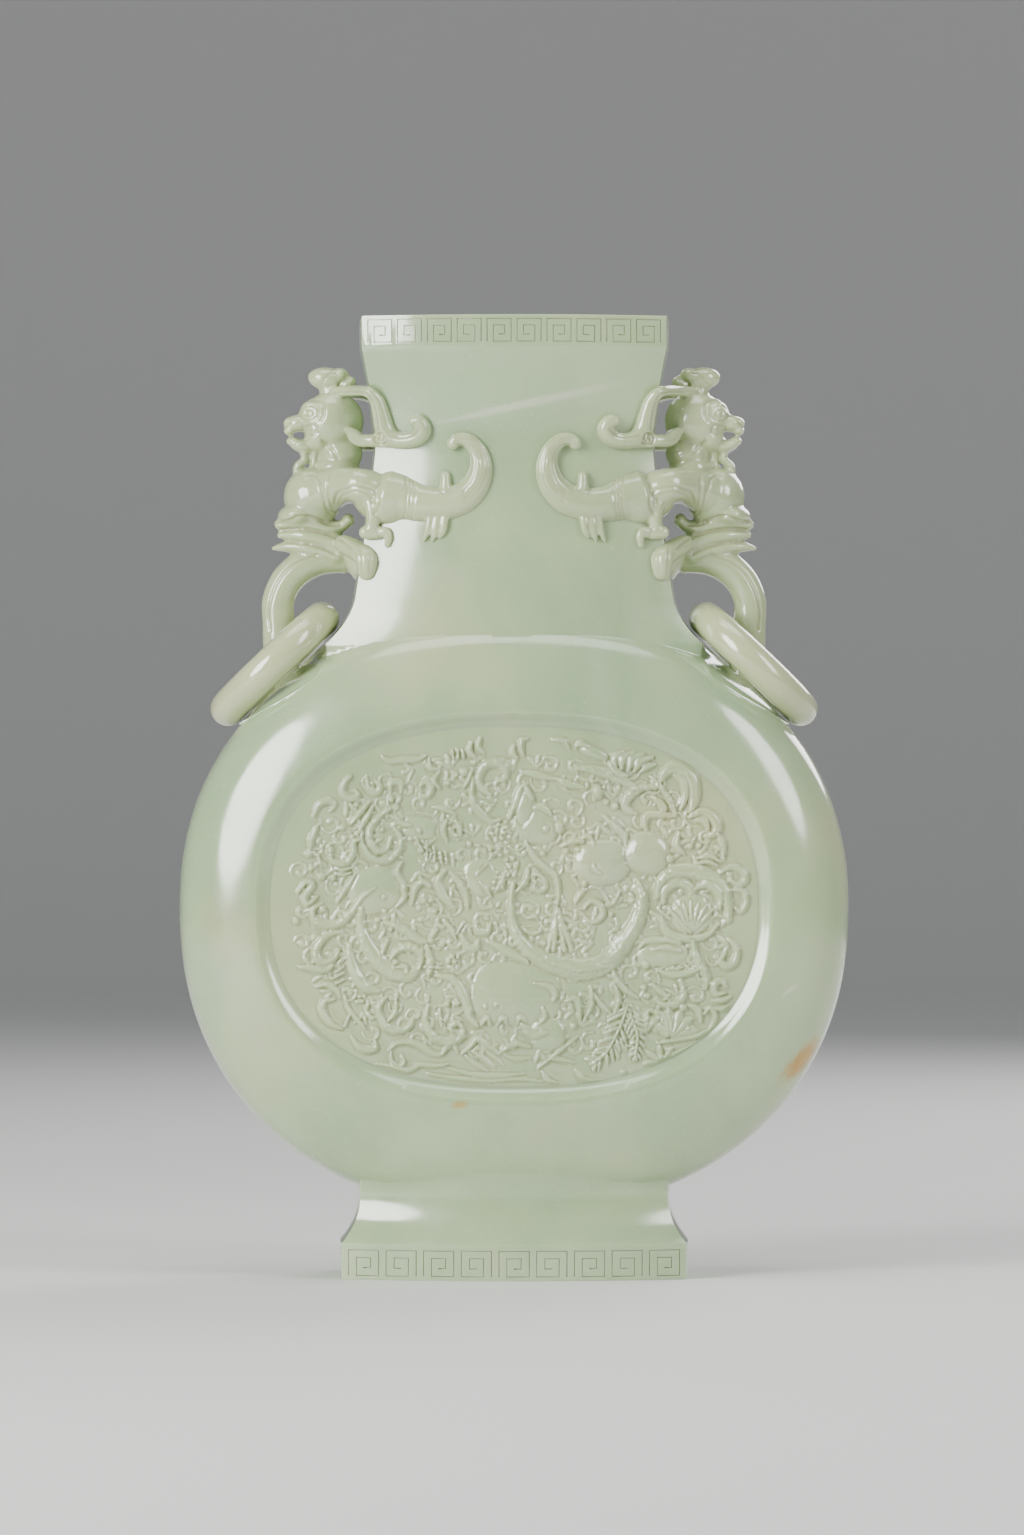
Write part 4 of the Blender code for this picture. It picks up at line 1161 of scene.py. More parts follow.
def flowers(panel):
    """The great flower, the palmette above it and the leaves round them."""
    swept(panel, 1.2, (
        (1.9, (49.3, 26.6), (50.4, 30.4), (50.0, 34.4), (48.4, 37.6), (45.4, 38.9), (42.6, 37.8),
         (41.0, 35.4)),
        (0.9, (46.4, 27.0), (47.8, 31), (47.0, 35.0), (44.6, 36.6)),
        (1.3, (49, 25.0), (52, 26.4), (55, 25.4), (56.8, 22.8), (56, 20.4), (53.4, 19.6)),
        (1.0, (50.6, 24.0), (53.0, 24.0), (54.2, 21.8)),
        (0.9, (56.8, 20.4), (58.2, 17.5), (58.4, 14)),
        (1.2, (40.4, 33.2), (36, 33.2), (33, 31.6), (31, 29.4), (31.6, 27), (34, 26)),
        (0.9, (38.6, 30.6), (40.6, 29.0), (41.8, 27.2), (40.6, 26.4)),
        (1.0, (45, 25.3), (41, 25.6), (37.4, 25.5), (36.4, 23.4), (37, 21)),
        (1.4, (17.6, 38.7), (22, 38.2), (26.4, 37), (30.6, 35.2), (34.4, 32.8)),
        (1.0, (11.8, 35.8), (15, 34.2), (19.4, 33.4)),
        (0.9, (1.8, 37.8), (6.6, 36.6), (11.6, 35.6)),
        (0.8, (26.4, 40.4), (28.6, 37.8), (31.8, 36.4)),
    ), 0.25)
    swept(panel, 1.0, (
        (1.0, (28.4, 39.4), (28.0, 41.4), (30.4, 43.2)),
        (1.1, (30.0, 38.6), (30.4, 41.2), (33.4, 43.0)),
        (1.1, (31.8, 38.0), (33.0, 41.0), (36.0, 42.6)),
        (1.1, (33.6, 37.8), (35.2, 40.4), (38.6, 41.6)),
        (0.9, (35.4, 37.6), (37.2, 39.0), (39.4, 39.6)),
        (0.55, (45.4, 25.4), (43.6, 30), (41.0, 33.6), (38, 36.4)),
        (0.45, (45.0, 25.4), (42.2, 31.2), (39.4, 34.4)),
        (0.7, (51.0, 13.4), (54.4, 14.0), (57.6, 12.6)),
        (0.6, (50.8, 12.0), (54.4, 12.4), (57.2, 11.2)),
        (0.7, (50.6, 19.2), (49.4, 17.2)),
        (0.9, (46.0, 20.6), (45.4, 17.0), (47.4, 14.6)),
        (1.0, (57.6, 9.4), (60.4, 11.0), (63.4, 10.2), (64.6, 7.6), (62.6, 6.0), (60.4, 7.4)),
        (0.8, (60.4, 4.6), (63.8, 4.4), (64.8, 1.4), (63.4, -1.4), (61.8, -0.4)),
    ))
    swept(panel, 1.25, (
        (1.9, (39.8, 2.6), (40.8, 6.8), (44.2, 9.4), (49.2, 10.0), (54.2, 8.4), (58, 5.4), (59.6, 1.4),
         (59.8, -4)),
        (1.2, (41.6, 0.8), (42.2, 4.4), (45.6, 6.6), (49, 5.6), (50.2, 2.2)),
        (1.1, (50.4, 4.8), (54, 6.2), (57.2, 3.4), (57.4, -0.6)),
        (1.0, (38.2, -1.6), (41, -3.4), (42.6, -7.0), (46, -8.6), (50, -9.0), (54, -8.0), (57.0, -4.8)),
    ), 0.2)
    panel.lump(49.6, -2.2, 5.6, 5.6, 0, 0.9, 2.2)
    for i in range(7):
        angle = math.radians(48 + 14 * i)
        tip = (49.4 + 9.4 * math.cos(angle), -7.6 + 9.4 * math.sin(angle))
        middle = (49.4 + 5.4 * math.cos(angle), -7.6 + 5.4 * math.sin(angle))
        panel.line([(49.4, -7.6), middle, tip], (0.3, 0.65, 0.35), 0.7)
    swept(panel, 1.05, (
        (1.2, (50.0, -9.6), (50.6, -13), (52, -16.2), (53.8, -19.6), (53.4, -22.8)),
        (0.8, (34.8, -11.8), (36.8, -9.8), (42, -9.4), (46.6, -10.2)),
        (0.8, (38.6, -12.0), (42.6, -11.4), (46.6, -12.6)),
        (0.9, (40, -17.8), (44, -19.2), (48, -18.8), (51.2, -17.8)),
        (1.0, (60.2, -9.4), (62.2, -12), (61.6, -15.4), (59.4, -16.8), (57.8, -15.2), (58.8, -13.2)),
        (1.0, (59.2, -22.4), (57.8, -20.8), (55.9, -21.8), (56.4, -24.4), (58.8, -24.2)),
        (0.8, (38.6, -21.6), (40.6, -23.4), (42.8, -25.2)),
        (1.0, (46.4, -20.6), (47.4, -24.4), (45.4, -27.2), (42, -27.6), (39.6, -26.0)),
        (0.9, (27.4, -17.4), (28.6, -20.2), (31, -23.2), (34.6, -25.6)),
        (0.7, (22.2, -24.2), (24.4, -27.4), (27.2, -30.2)),
        (0.8, (27.8, -21.4), (29.2, -25.6), (28.0, -29.8)),
        (0.8, (21.4, -22.4), (21.6, -27.4), (20.2, -30.6)),
        (0.9, (48.8, -27.6), (51.4, -28.8), (52.2, -32.2)),
        (0.8, (53.2, -30.0), (54.6, -28.2), (56.2, -30.6), (55.0, -34.6), (50.4, -36.2), (45, -37.3),
         (40, -38.2)),
        (0.8, (55.8, -26.2), (58.2, -26.2), (60.4, -25.2)),
        (0.8, (55.8, -28.4), (58.2, -28.6), (59.6, -27.8)),
        (0.9, (40.4, -42.4), (44.6, -41.6), (49.6, -39.4), (53.4, -36.4)),
        (0.9, (33.0, -46.8), (38.4, -46.4), (44.2, -44.0), (48.4, -41.4)),
    ))
    panel.fan(43.2, -36.8, 8.4, 78, 96, 6, 0.9, 0.5)
    panel.fan(36.2, -36.0, 6.6, 96, 70, 4, 0.8, 0.4)
    panel.fan(41.6, -44.2, 5.4, 120, 90, 4, 0.8, 0.5)
    feather(panel, [(31.6, -27.6), (29.6, -33.6), (25.8, -40.6), (21.6, -44.0)], 6.0, 9)
    feather(panel, [(32.4, -30.0), (34.4, -36.2), (33.6, -42.6)], 4.4, 7)
    beads(panel, 1.1, (
        (49.0, 16.8, 1.0), (51.6, 17.0, 0.9), (57.0, 16.2, 0.9), (36.8, -16.4, 1.2), (36.3, -22.6, 0.9),
        (37.3, -25.0, 0.9),
        (47.2, -28.2, 1.2), (48.6, -34.0, 0.7), (33.8, -42.6, 0.8), (30.6, -46.4, 0.9), (16.6, -33.4, 1.0),
        (43.0, -41.2, 0.9),
    ))


def scrolls(panel):
    """Scrolls, loops, hooks and pearls of the left half and the field's edge."""
    swept(panel, 1.0, (
        (1.0, (-45.6, 36.4), (-47.6, 34.2), (-47.8, 31.6), (-45.6, 30.2), (-43.6, 31.0), (-44.4, 32.6)),
        (1.0, (-41.2, 35.8), (-40.6, 33.0), (-38.6, 31.8), (-37.4, 33.4), (-38.6, 34.8)),
        (0.9, (-36.8, 41.8), (-34.6, 40.6), (-31, 41.0), (-27.4, 41.0), (-24.8, 42.0)),
        (0.9, (-34.6, 31.8), (-34.4, 34.4), (-31.8, 34.6), (-31.6, 32.0)),
        (0.9, (-26.4, 33.6), (-24.6, 34.8), (-23.2, 33.0), (-24.2, 30.8), (-26.4, 31.2)),
        (0.7, (-23.8, 41.4), (-23.4, 38.8), (-21.4, 38.4)),
        (0.7, (-20.8, 37.8), (-22.4, 35.2), (-20.8, 33.0)),
        (0.7, (-17.2, 43.6), (-17.0, 41.2)), (0.7, (-15.8, 43.7), (-15.6, 41.4)),
        (0.7, (-14.4, 43.6), (-14.2, 41.4)),
        (0.8, (-12.0, 45.8), (-12.5, 43.2), (-11.0, 41.6)), (0.8, (-9.4, 47.0), (-10.1, 44.6), (-8.6, 42.8)),
        (0.8, (3.8, 46.9), (2.2, 46.4), (1.9, 44.2), (2.6, 42.2)),
        (0.8, (0.0, 45.0), (-0.5, 43.0), (0.8, 41.4)),
        (0.8, (11, 46.6), (13.8, 46.4), (15.2, 44.4)), (0.9, (17.2, 44.6), (18.8, 45.6), (20.8, 44.8)),
        (0.6, (-11.6, 38.6), (-12.5, 36), (-14.2, 33)),
        (1.0, (-11.4, 36.0), (-11.9, 31.4), (-11, 28.3), (-9, 25.8), (-6.2, 23.7), (-4, 24.2)),
        (1.2, (-6.6, 31.2), (-9, 33), (-9.9, 36), (-8.4, 39.2), (-5, 40.2), (-2.4, 38.4), (-2.6, 35.8),
         (-4.6, 35.2)),
        (0.6, (-8.2, 28.6), (-5.8, 28.4)),
        (0.6, (-10.6, 8.8), (-7.4, 12)), (0.6, (-9.6, 7), (-7.6, 4.6), (-6.4, 2.4)),
        (1.1, (-19.2, 10.0), (-21.3, 7.4), (-20.4, 4.4), (-18.8, 1.8), (-16.6, -0.6)),
        (0.9, (-17.8, 9.6), (-15.4, 6.8), (-13.4, 3.0), (-13.0, -0.6)),
        (0.6, (-24.4, 18.2), (-24.3, 12.6)), (0.6, (-22.4, 16.6), (-22.2, 12.4)),
        (0.6, (-20.6, 15.4), (-20.2, 12.0)),
        (0.6, (-19.2, 15.2), (-18.8, 11.8)), (0.7, (-27.6, 19.2), (-25.4, 15.4)),
        (0.7, (-18.9, 24.2), (-19.8, 21.4), (-18.8, 18.2)), (0.7, (-16.4, 24.2), (-15.3, 22), (-15.0, 19.4)),
        (0.8, (-22.8, 27.8), (-19.6, 27.2), (-16.2, 25.6)),
        (1.0, (-34.0, 27.6), (-37.4, 25.4), (-40.0, 22.2), (-40.4, 18.6), (-38.2, 15.6), (-35.6, 16),
         (-34.4, 19.2)),
        (0.9, (-42.6, 21.2), (-42.2, 16.8), (-39.4, 13.4), (-35.4, 12.8), (-32.4, 15.4), (-31.6, 19.0),
         (-33.4, 21.8)),
        (0.7, (-43.8, 20), (-41.8, 24), (-39.4, 28)), (0.7, (-45.4, 23.2), (-42.8, 26.6), (-40.4, 29.2)),
        (0.8, (-31.4, 12.4), (-32.6, 9.6), (-31, 6.2), (-30.8, 2.4), (-33, -0.2)),
        (0.8, (-44.2, 9.4), (-47, 5.2), (-49.4, 1.2)),
        (1.1, (-38.8, 5.2), (-42.5, 2.5), (-45, -1), (-48.4, -4.4), (-52, -5.2), (-55.6, -4), (-56.4, -1.0),
         (-54, 0.6)),
        (0.9, (-54.8, 22.8), (-56.5, 19), (-57, 16)), (0.8, (-54.8, 14.6), (-53.9, 11.2)),
        (0.9, (-51.4, 15.6), (-51, 13), (-48.8, 11.8), (-46.4, 12.5), (-45, 15), (-44.8, 18), (-43.2, 18.6)),
        (0.5, (-50.0, 10.6), (-47.8, 10.2), (-45.4, 10.8)), (0.5, (-50.0, 9.2), (-47.8, 8.8), (-45.6, 9.4)),
        (1.0, (-56, 25.2), (-54.6, 28.4), (-52, 29.6), (-50.2, 28.4), (-51.4, 26.6)),
        (0.9, (-60.4, 4.0), (-58.4, 6.8), (-56.4, 6), (-58.5, 2.6), (-57.8, 0.5), (-55, 2.8)),
        (0.8, (-32.4, 24.6), (-31, 23), (-28.8, 22.6)),
        (0.9, (-28.6, 0.6), (-27.8, 4.8), (-25.6, 6.8), (-23.4, 5.4)),
        (1.1, (-48.2, -7.2), (-51.6, -7.8), (-54.6, -10.4), (-55.4, -13.2), (-54, -15.4), (-51, -15.3),
         (-49, -12.2)),
        (0.9, (-60, -17), (-57, -17.3), (-52.8, -17.8), (-50.6, -16.4)),
        (1.9, (-42.8, -0.6), (-42.6, -6), (-40.6, -11.4), (-37.4, -15.6), (-33.4, -18.6), (-29.2, -19.4),
         (-26.8, -17)),
        (1.0, (-26.6, -17.4), (-26.0, -13.6), (-28.6, -11.4), (-32.4, -12.2), (-34.4, -14.6)),
        (0.7, (-33, -17), (-30.4, -16.8), (-30.0, -18.6)), (0.7, (-36.9, -13.4), (-36.2, -11), (-35.2, -9.4)),
        (1.1, (-36.2, -4.4), (-31, -6.4), (-26.6, -9.3), (-24, -10)),
        (0.7, (-24, -10), (-22.6, -7.6), (-21.4, -6.4)),
        (1.1, (-24.4, -10.8), (-23.4, -15.6), (-23.9, -19.2)), (0.8, (-23.4, -17), (-20.4, -17.2)),
        (0.7, (-19.6, -3.8), (-17.6, -6.2), (-16.4, -8.8)), (0.7, (-13.8, -4.2), (-16, -7.6)),
        (1.1, (-14.7, -8.0), (-13.2, -11), (-10.8, -11.6), (-10.0, -9.6)),
        (0.8, (-10.8, -4.4), (-10.2, -7.0), (-7.6, -7.2), (-6.8, -4.8)), (0.8, (-5.2, -4.4), (-4.6, -6.8)),
        (1.1, (-7.4, -9.8), (-3, -12), (1, -14), (4.0, -15.8)),
        (1.2, (-21.6, -19.2), (-17, -20.4), (-14.8, -23), (-13.3, -27), (-12, -31.5), (-10.2, -33.4)),
        (0.7, (-9.2, -33.2), (-7.6, -31.2), (-6.8, -33.2)), (0.7, (-4.8, -33.2), (-3, -31.2), (-1.8, -33.2)),
        (0.7, (0.8, -33.0), (1.8, -31.0), (3.4, -32.4)),
        (0.9, (5.4, -21.4), (10, -22.4), (11.5, -24.5), (11, -26.4)),
        (0.9, (14.4, -26.4), (17.6, -26), (18.4, -31.2)),
        (1.2, (2.0, -32.8), (4, -35), (6.2, -35.9), (9.2, -35.2)),
        (0.8, (7.2, -32.6), (8.6, -30.6), (8.0, -28.2)),
        (1.5, (-46.2, -10.6), (-45.2, -16), (-43.4, -20), (-40.8, -22.8), (-37.6, -23.6)),
        (0.7, (-49.8, -18.4), (-47.6, -16.8)), (0.7, (-50.8, -20.2), (-47.6, -18.6)),
        (0.7, (-50.6, -22.0), (-47.4, -20.4)),
        (0.8, (-55.4, -22.4), (-52, -21.8), (-49.6, -23.4), (-48.6, -25.4)),
        (1.0, (-50.4, -26.0), (-53.2, -26.7), (-53.3, -29.5), (-51.5, -32.5), (-48.2, -34.2)),
        (0.6, (-47.4, -24.8), (-46, -29), (-43.4, -32), (-41.6, -34.2)),
        (0.6, (-45.8, -30.2), (-47.2, -33.6)),
        (1.0, (-45.4, -36.4), (-43.5, -39), (-41, -40.1), (-38.7, -39.5), (-38.9, -37.6)),
        (1.0, (-35.6, -25.2), (-37.8, -28), (-37, -31.5), (-35, -34), (-31.5, -34.6), (-28.8, -33),
         (-28.4, -31.2)),
        (0.7, (-33, -25.8), (-33.3, -29.5), (-35.2, -32)),
        (1.1, (-24, -27.6), (-24.8, -31.5), (-23.5, -35), (-21, -37.3), (-17, -37.6), (-14.4, -36),
         (-14.4, -33.8)),
        (0.8, (-14.4, -33.8), (-15.8, -32.6), (-17.8, -33.4), (-17.2, -35.2)),
        (0.8, (-20.9, -28.6), (-20.3, -33.5)),
    ))
    beads(panel, 1.15, (
        (-34.3, 29.8, 0.8), (-14.0, 37.5, 1.3), (-16.4, 36.8, 0.9), (-18.6, 34.4, 1.0), (-11.2, 40.2, 0.8),
        (-36.8, 21.5, 0.7),
        (-33.0, 27.6, 1.1), (-57.4, 14.6, 1.1), (-56.7, 10.7, 1.0), (-53.8, 8.3, 1.2), (-50.6, 8.0, 1.0),
        (-51.3, 15.8, 1.1),
        (-48.0, 22.0, 1.0), (-25.3, 1.6, 1.0), (-23.2, 1.8, 0.8), (-36.3, 2.6, 0.9), (-60.8, -4.2, 1.0),
        (-53.4, -0.8, 1.1),
        (-36.2, -1.4, 0.8), (-38.0, -3.7, 0.8), (-34.5, -6.5, 0.7), (-33.2, -15.6, 0.9), (-23.2, -9.6, 1.0),
        (-20.0, -10.5, 0.8),
        (-17.2, -14.0, 0.7), (-15.7, -14.2, 0.7), (-16.5, -15.4, 0.7), (-8.0, -28.0, 0.8), (-5.0, -27.5, 0.8),
        (-18.8, -27.3, 0.9), (-15.8, -27.0, 0.8), (-43.1, -25.2, 0.6), (-41.9, -25.2, 0.6),
        (-42.5, -26.4, 0.6),
        (-12.4, 17.4, 0.7), (-10.0, 17.0, 0.7), (-16.2, 19.8, 0.7), (-26.4, 21.0, 0.9), (-22.2, -1.4, 0.9),
        (-6.4, 0.0, 0.7),
    ))


def front_figures(panel):
    """A horned creature coiled among scrolls, flowers and waves."""
    curled_ground(panel, 62, 46, 5)
    low_ground(panel)
    water(panel)
    scrolls(panel)
    flowers(panel)
    creature(panel)


def relief_grid(cell):
    """Points of the field's oval from a square grid drawn to its outline, with how far out they are."""
    half_width = FIELD_HALF_WIDTH - FIELD_BEVEL + SLAB_LAP
    half_height = FIELD_HALF_HEIGHT - FIELD_BEVEL + SLAB_LAP
    columns, rows = int(2 * half_width / cell), int(2 * half_height / cell)
    u, v = np.meshgrid(np.linspace(-1, 1, columns), np.linspace(-1, 1, rows))
    out = np.maximum(np.abs(u), np.abs(v))
    turn = np.arctan2(v, u)
    square = 1 / np.maximum(np.abs(np.cos(turn)), np.abs(np.sin(turn)))
    total = np.abs(np.cos(turn)) ** FIELD_POWER + np.abs(np.sin(turn)) ** FIELD_POWER
    round_reach = total ** (-1 / FIELD_POWER)
    pull = 1 + (round_reach / square - 1) * out
    return u * pull * half_width, v * pull * half_height, out


def softened(level, rounds):
    """A copy of a grid of heights with each averaged with its neighbours a number of times."""
    level = level.copy()
    for _ in range(rounds):
        level[1:-1, 1:-1] += level[:-2, 1:-1] + level[2:, 1:-1] + level[1:-1, :-2] + level[1:-1, 2:]
        level[1:-1, 1:-1] /= 5
    return level


def relief_slab(name, facing, cell, top, draw, stone):
    """The carved field of one broad side as a closed slab set in the body's pocket."""
    x, z, out = relief_grid(cell)
    panel = Panel(x / MM * -facing, z / MM)
    draw(panel)
    fade = np.clip((1 - out) / 0.03, 0, 1)
    swell = softened(np.clip(panel.height, 0, RELIEF_TOP), 40)
    detail = np.clip(panel.height, RELIEF_LOWEST, RELIEF_TOP)
    level = (0.78 * detail + 0.55 * swell) / RELIEF_SCALE * top * fade
    # Painted shade with warm residue: points that lie below their smoothed surroundings get the ochre hollow
    # tint.
    hollow = np.clip((softened(level, 6) - level) / (0.25 * MM), 0, 1)
    rows, columns = x.shape
    front = np.stack((x, facing * (FIELD_LEVEL + level), z + FIELD_Z), axis=-1).reshape(-1, 3)
    faces = grid_faces(rows, columns, False)
    edge = list(range(columns)) + [i * columns + columns - 1 for i in range(1, rows)]
    edge += [(rows - 1) * columns + i for i in range(columns - 2, -1, -1)]
    edge += [i * columns for i in range(rows - 2, 0, -1)]
    rim = front[edge].copy()
    rim[:, 1] = facing * (FIELD_LEVEL - SLAB_DEPTH)
    count = len(front)
    for i in range(len(edge)):
        j = (i + 1) % len(edge)
        faces.append((edge[j], edge[i], count + i, count + j))
    faces.append(tuple(count + i for i in range(len(edge) - 1, -1, -1)))
    if facing > 0:
        faces = [tuple(reversed(face)) for face in faces]
    slab = write_mesh(name, np.concatenate((front, rim)), faces, stone)
    set_hollow(slab, np.concatenate((hollow.reshape(-1), np.zeros(len(rim)))))
    return slab


def back_figures(panel):
    """A field in keeping, which the photograph doesn't show: an open flower between two sprays."""
    curled_ground(panel, 62, 46, 8)
    for _ in range(2):
        flowers(panel)
        panel.x = -panel.x
    for petals, reach, size in ((9, 13.0, 6.0), (7, 8.0, 5.0)):
        for turn in range(petals):
            angle = 2 * math.pi * (turn + 0.25) / petals
            x, z = reach * math.cos(angle), reach * math.sin(angle)
            panel.lump(x, z, size, 0.7 * size, math.degrees(angle), 1.2)
    panel.lump(0, 0, 4.2, 4.2, 0, 1.5)


# Beast handles


def beast_point(out, up, y=0.0):
    """A place on the beast's grid: out from the neck's side, and up from the beast's base."""
    return np.array((WAIST_HALF_WIDTH + out * MM, y * MM, BEAST_Z + up * MM))


def on_neck(out, up, radius, height):
    """A place for a tube on the neck's broad face, so that its top stands a height above the face."""
    x, _, z = beast_point(out, up)
    face = neck_face(min(x, WAIST_HALF_WIDTH), z)
    return np.array((x, face + (height - radius) * MM, z)), radius


def beast_tube(points, sides=20, squash=1.0, per_span=8):
    """A tube whose points are places already in metres, each with a radius in millimetres."""
    path = smooth_path([(*place, radius * MM) for place, radius in points], per_span)
    return tube(path[:, :3], np.maximum(path[:, 3], 0.1 * MM), sides, squash)


def beast_middle():
    """The head, crest, chest, scrolls and loop, which stand in the middle plane."""
    balls = (
        (11.2, 41.2, 8.7, 7.8, 8.6, 0.0),
        (15.6, 42.4, 5.4, 6.6, 5.6, 0.0),
        (12.8, 53.2, 5.6, 4.2, 3.3, -0.12),
        (9.4, 54.0, 2.6, 3.8, 2.4, 0.4),
        (7.2, 51.6, 2.8, 3.4, 2.2, 0.75),
        (12.2, 49.6, 3.0, 3.4, 1.8, 0.0),
        (18.0, 45.4, 2.6, 5.0, 1.6, 0.5),
        (21.2, 40.6, 3.8, 3.9, 2.5, 0.1),
        (23.3, 40.6, 2.0, 3.0, 1.9, 0.2),
        (23.6, 38.5, 1.6, 2.9, 1.3, 0.0),
        (22.6, 35.6, 1.9, 2.8, 1.3, 0.0),
        (20.0, 34.2, 3.6, 3.7, 1.9, -0.25),
        (15.2, 37.0, 4.2, 6.2, 5.0, 0.0),
        (9.0, 32.0, 6.2, 6.2, 5.2, 0.0),
        (10.0, 27.6, 6.4, 6.4, 4.6, 0.0),
        (17.0, 19.6, 8.2, 8.6, 8.6, 0.35),
        (21.0, 14.8, 6.0, 8.0, 3.4, 0.12),
        (7.0, 13.2, 1.9, 4.4, 2.0, 0.0),
    )
    works = []
    for out, up, wide, deep, high, tilt in balls:
        works.append(ball(beast_point(out, up), (wide * MM, deep * MM, high * MM), tilt))
    strips = (
        (((19.6, 33.2), 1.3), ((19.3, 30.4), 1.2), ((21.2, 28.6), 1.2), ((21.6, 26.4), 1.0),
         ((20.0, 25.4), 1.3)),
        (((16.4, 33.4), 1.2), ((16.6, 29.6), 1.1), ((17.4, 27.0), 1.3)),
        (((26.5, 12.0), 1.4), ((22.6, 12.4), 2.3), ((17.0, 12.0), 2.6), ((12.0, 10.8), 2.3),
         ((8.0, 12.0), 1.7)),
        (((26.2, 9.0), 0.9), ((20.0, 8.8), 2.5), ((13.0, 7.4), 2.9), ((7.6, 4.8), 3.2), ((4.4, 1.2), 3.4)),
        (((28.0, 5.3), 0.6), ((23.6, 5.8), 1.8), ((17.0, 4.9), 2.7), ((10.0, 3.0), 3.0)),
        (((9.4, 1.8), 1.5), ((8.2, -0.6), 1.3)),
        (((4.4, 2.0), 3.6), ((2.6, -1.2), 3.4), ((0.0, -0.6), 3.0)),
    )
    for strip in strips:
        works.append(beast_tube([(beast_point(out, up), radius) for (out, up), radius in strip], squash=1.9))
    works.append(loop_tube())
    return works


def loop_tube():
    """The loop that holds the ring, from the scroll down into the shoulder."""
    centre, along, _ = ring_place()
    low = centre + along * (0.02 * 18.4 * MM)
    radius = LOOP_RADIUS / MM
    points = [
        (beast_point(8.0, 2.4), radius * 0.86),
        (beast_point(16.6, 1.8), radius),
        (beast_point(23.4, -2.8), radius),
        (beast_point(26.6, -9.2), radius),
        (beast_point(26.6, -15.6), radius),
        (np.array((low.x - 2.0 * MM, 0.0, low.z + 1.0 * MM)), radius),
        (np.array((low.x - 6.0 * MM, 0.0, low.z - 8.5 * MM)), radius),
    ]
    return beast_tube(points, 28)


def beast_flank():
    """The horn, body and tail that lie on the neck's broad face; the other face mirrors them."""
    horn = [
        (beast_point(11.0, 49.4, 2.5), 1.5),
        (beast_point(5.6, 49.4, 9.0), 1.6),
        on_neck(1.2, 48.8, 1.6, 2.8),
        on_neck(-1.4, 46.4, 2.1, 3.2),
        on_neck(-2.7, 42.2, 2.6, 3.3),
        on_neck(-3.8, 38.2, 2.9, 3.3),
        on_neck(-6.2, 35.6, 2.6, 3.2),
        on_neck(-9.6, 35.0, 2.3, 3.1),
        on_neck(-12.8, 35.8, 2.5, 3.3),
        on_neck(-14.3, 38.0, 2.6, 3.6),
        on_neck(-13.4, 40.2, 2.1, 3.8),
        on_neck(-11.8, 40.4, 1.5, 3.8),
    ]
    ear = [
        (beast_point(6.0, 37.8, 7.6), 1.6),
        (beast_point(4.8, 36.6, 9.4), 2.1),
        (beast_point(3.2, 35.3, 11.6), 1.9),
        on_neck(0.4, 35.2, 1.9, 2.8),
        on_neck(-5.6, 35.2, 2.2, 3.0),
    ]
    body = [
        (beast_point(14.5, 20.6, 3.6), 6.2),
        (beast_point(8.6, 22.8, 8.6), 4.9),
        (beast_point(3.6, 22.6, 12.6), 5.0),
        on_neck(-0.4, 20.6, 6.9, 4.4),
        on_neck(-5.0, 19.1, 8.4, 4.4),
        on_neck(-9.8, 18.6, 7.4, 3.7),
        on_neck(-14.0, 17.4, 5.8, 3.2),
        on_neck(-20.0, 17.1, 5.2, 3.0),
        on_neck(-25.6, 18.7, 4.9, 3.0),
        on_neck(-29.3, 22.4, 4.1, 3.0),
        on_neck(-30.8, 27.2, 3.3, 3.0),
        on_neck(-29.9, 31.8, 2.6, 2.9),
        on_neck(-27.2, 34.9, 2.1, 2.9),
        on_neck(-24.2, 35.3, 1.8, 2.9),
        on_neck(-22.8, 34.0, 1.8, 3.0),
    ]
    thigh = [
        on_neck(0.2, 17.4, 2.2, 3.6),
        on_neck(-0.4, 13.0, 2.0, 3.2),
        on_neck(0.4, 9.6, 1.7, 2.6),
    ]
    hook = [
        on_neck(1.8, 9.3, 1.9, 2.6),
        on_neck(-1.6, 9.0, 1.6, 2.4),
        on_neck(-3.8, 9.6, 1.4, 2.2),
        on_neck(-4.7, 7.8, 1.2, 1.9),
        on_neck(-4.4, 5.8, 0.9, 1.2),
    ]
    bulb = [
        (beast_point(8.0, 6.4, 6.0), 2.6),
        (beast_point(4.6, 4.6, 9.4), 3.0),
        on_neck(1.6, 2.0, 3.2, 3.0),
        on_neck(1.4, -1.6, 2.6, 2.0),
    ]
    works = [beast_tube(horn), beast_tube(ear), beast_tube(body, 28)]
    works += [beast_tube(part) for part in (thigh, hook, bulb)]
    for start, end, low in ((-16.4, -14.6, 6.8), (-18.4, -17.0, 6.8), (-20.6, -19.2, 7.8)):
        knuckle = on_neck(0.6 * start + 0.4 * end, 9.6, 1.0, 1.8)
        works.append(beast_tube([on_neck(start, 13.0, 1.1, 2.0), knuckle, on_neck(end, low, 0.5, 0.8)], 16))
    works.append(beast_tube([on_neck(-20.8, 21.6, 1.6, 2.6), on_neck(-20.8, 25.2, 1.3, 2.1)], 16))
    return works


def ring_line(out, up, wide, high, turns=1.0, shrink=0.0, start=0.0):
    """Places round an oval, or along a spiral when it shrinks."""
    steps = int(20 * turns)
    places = []
    for i in range(steps + 1):
        angle = math.radians(start) + 2 * math.pi * turns * i / steps
        reach = 1 - shrink * i / steps
        places.append((out + wide * reach * math.cos(angle), up + high * reach * math.sin(angle)))
    return places


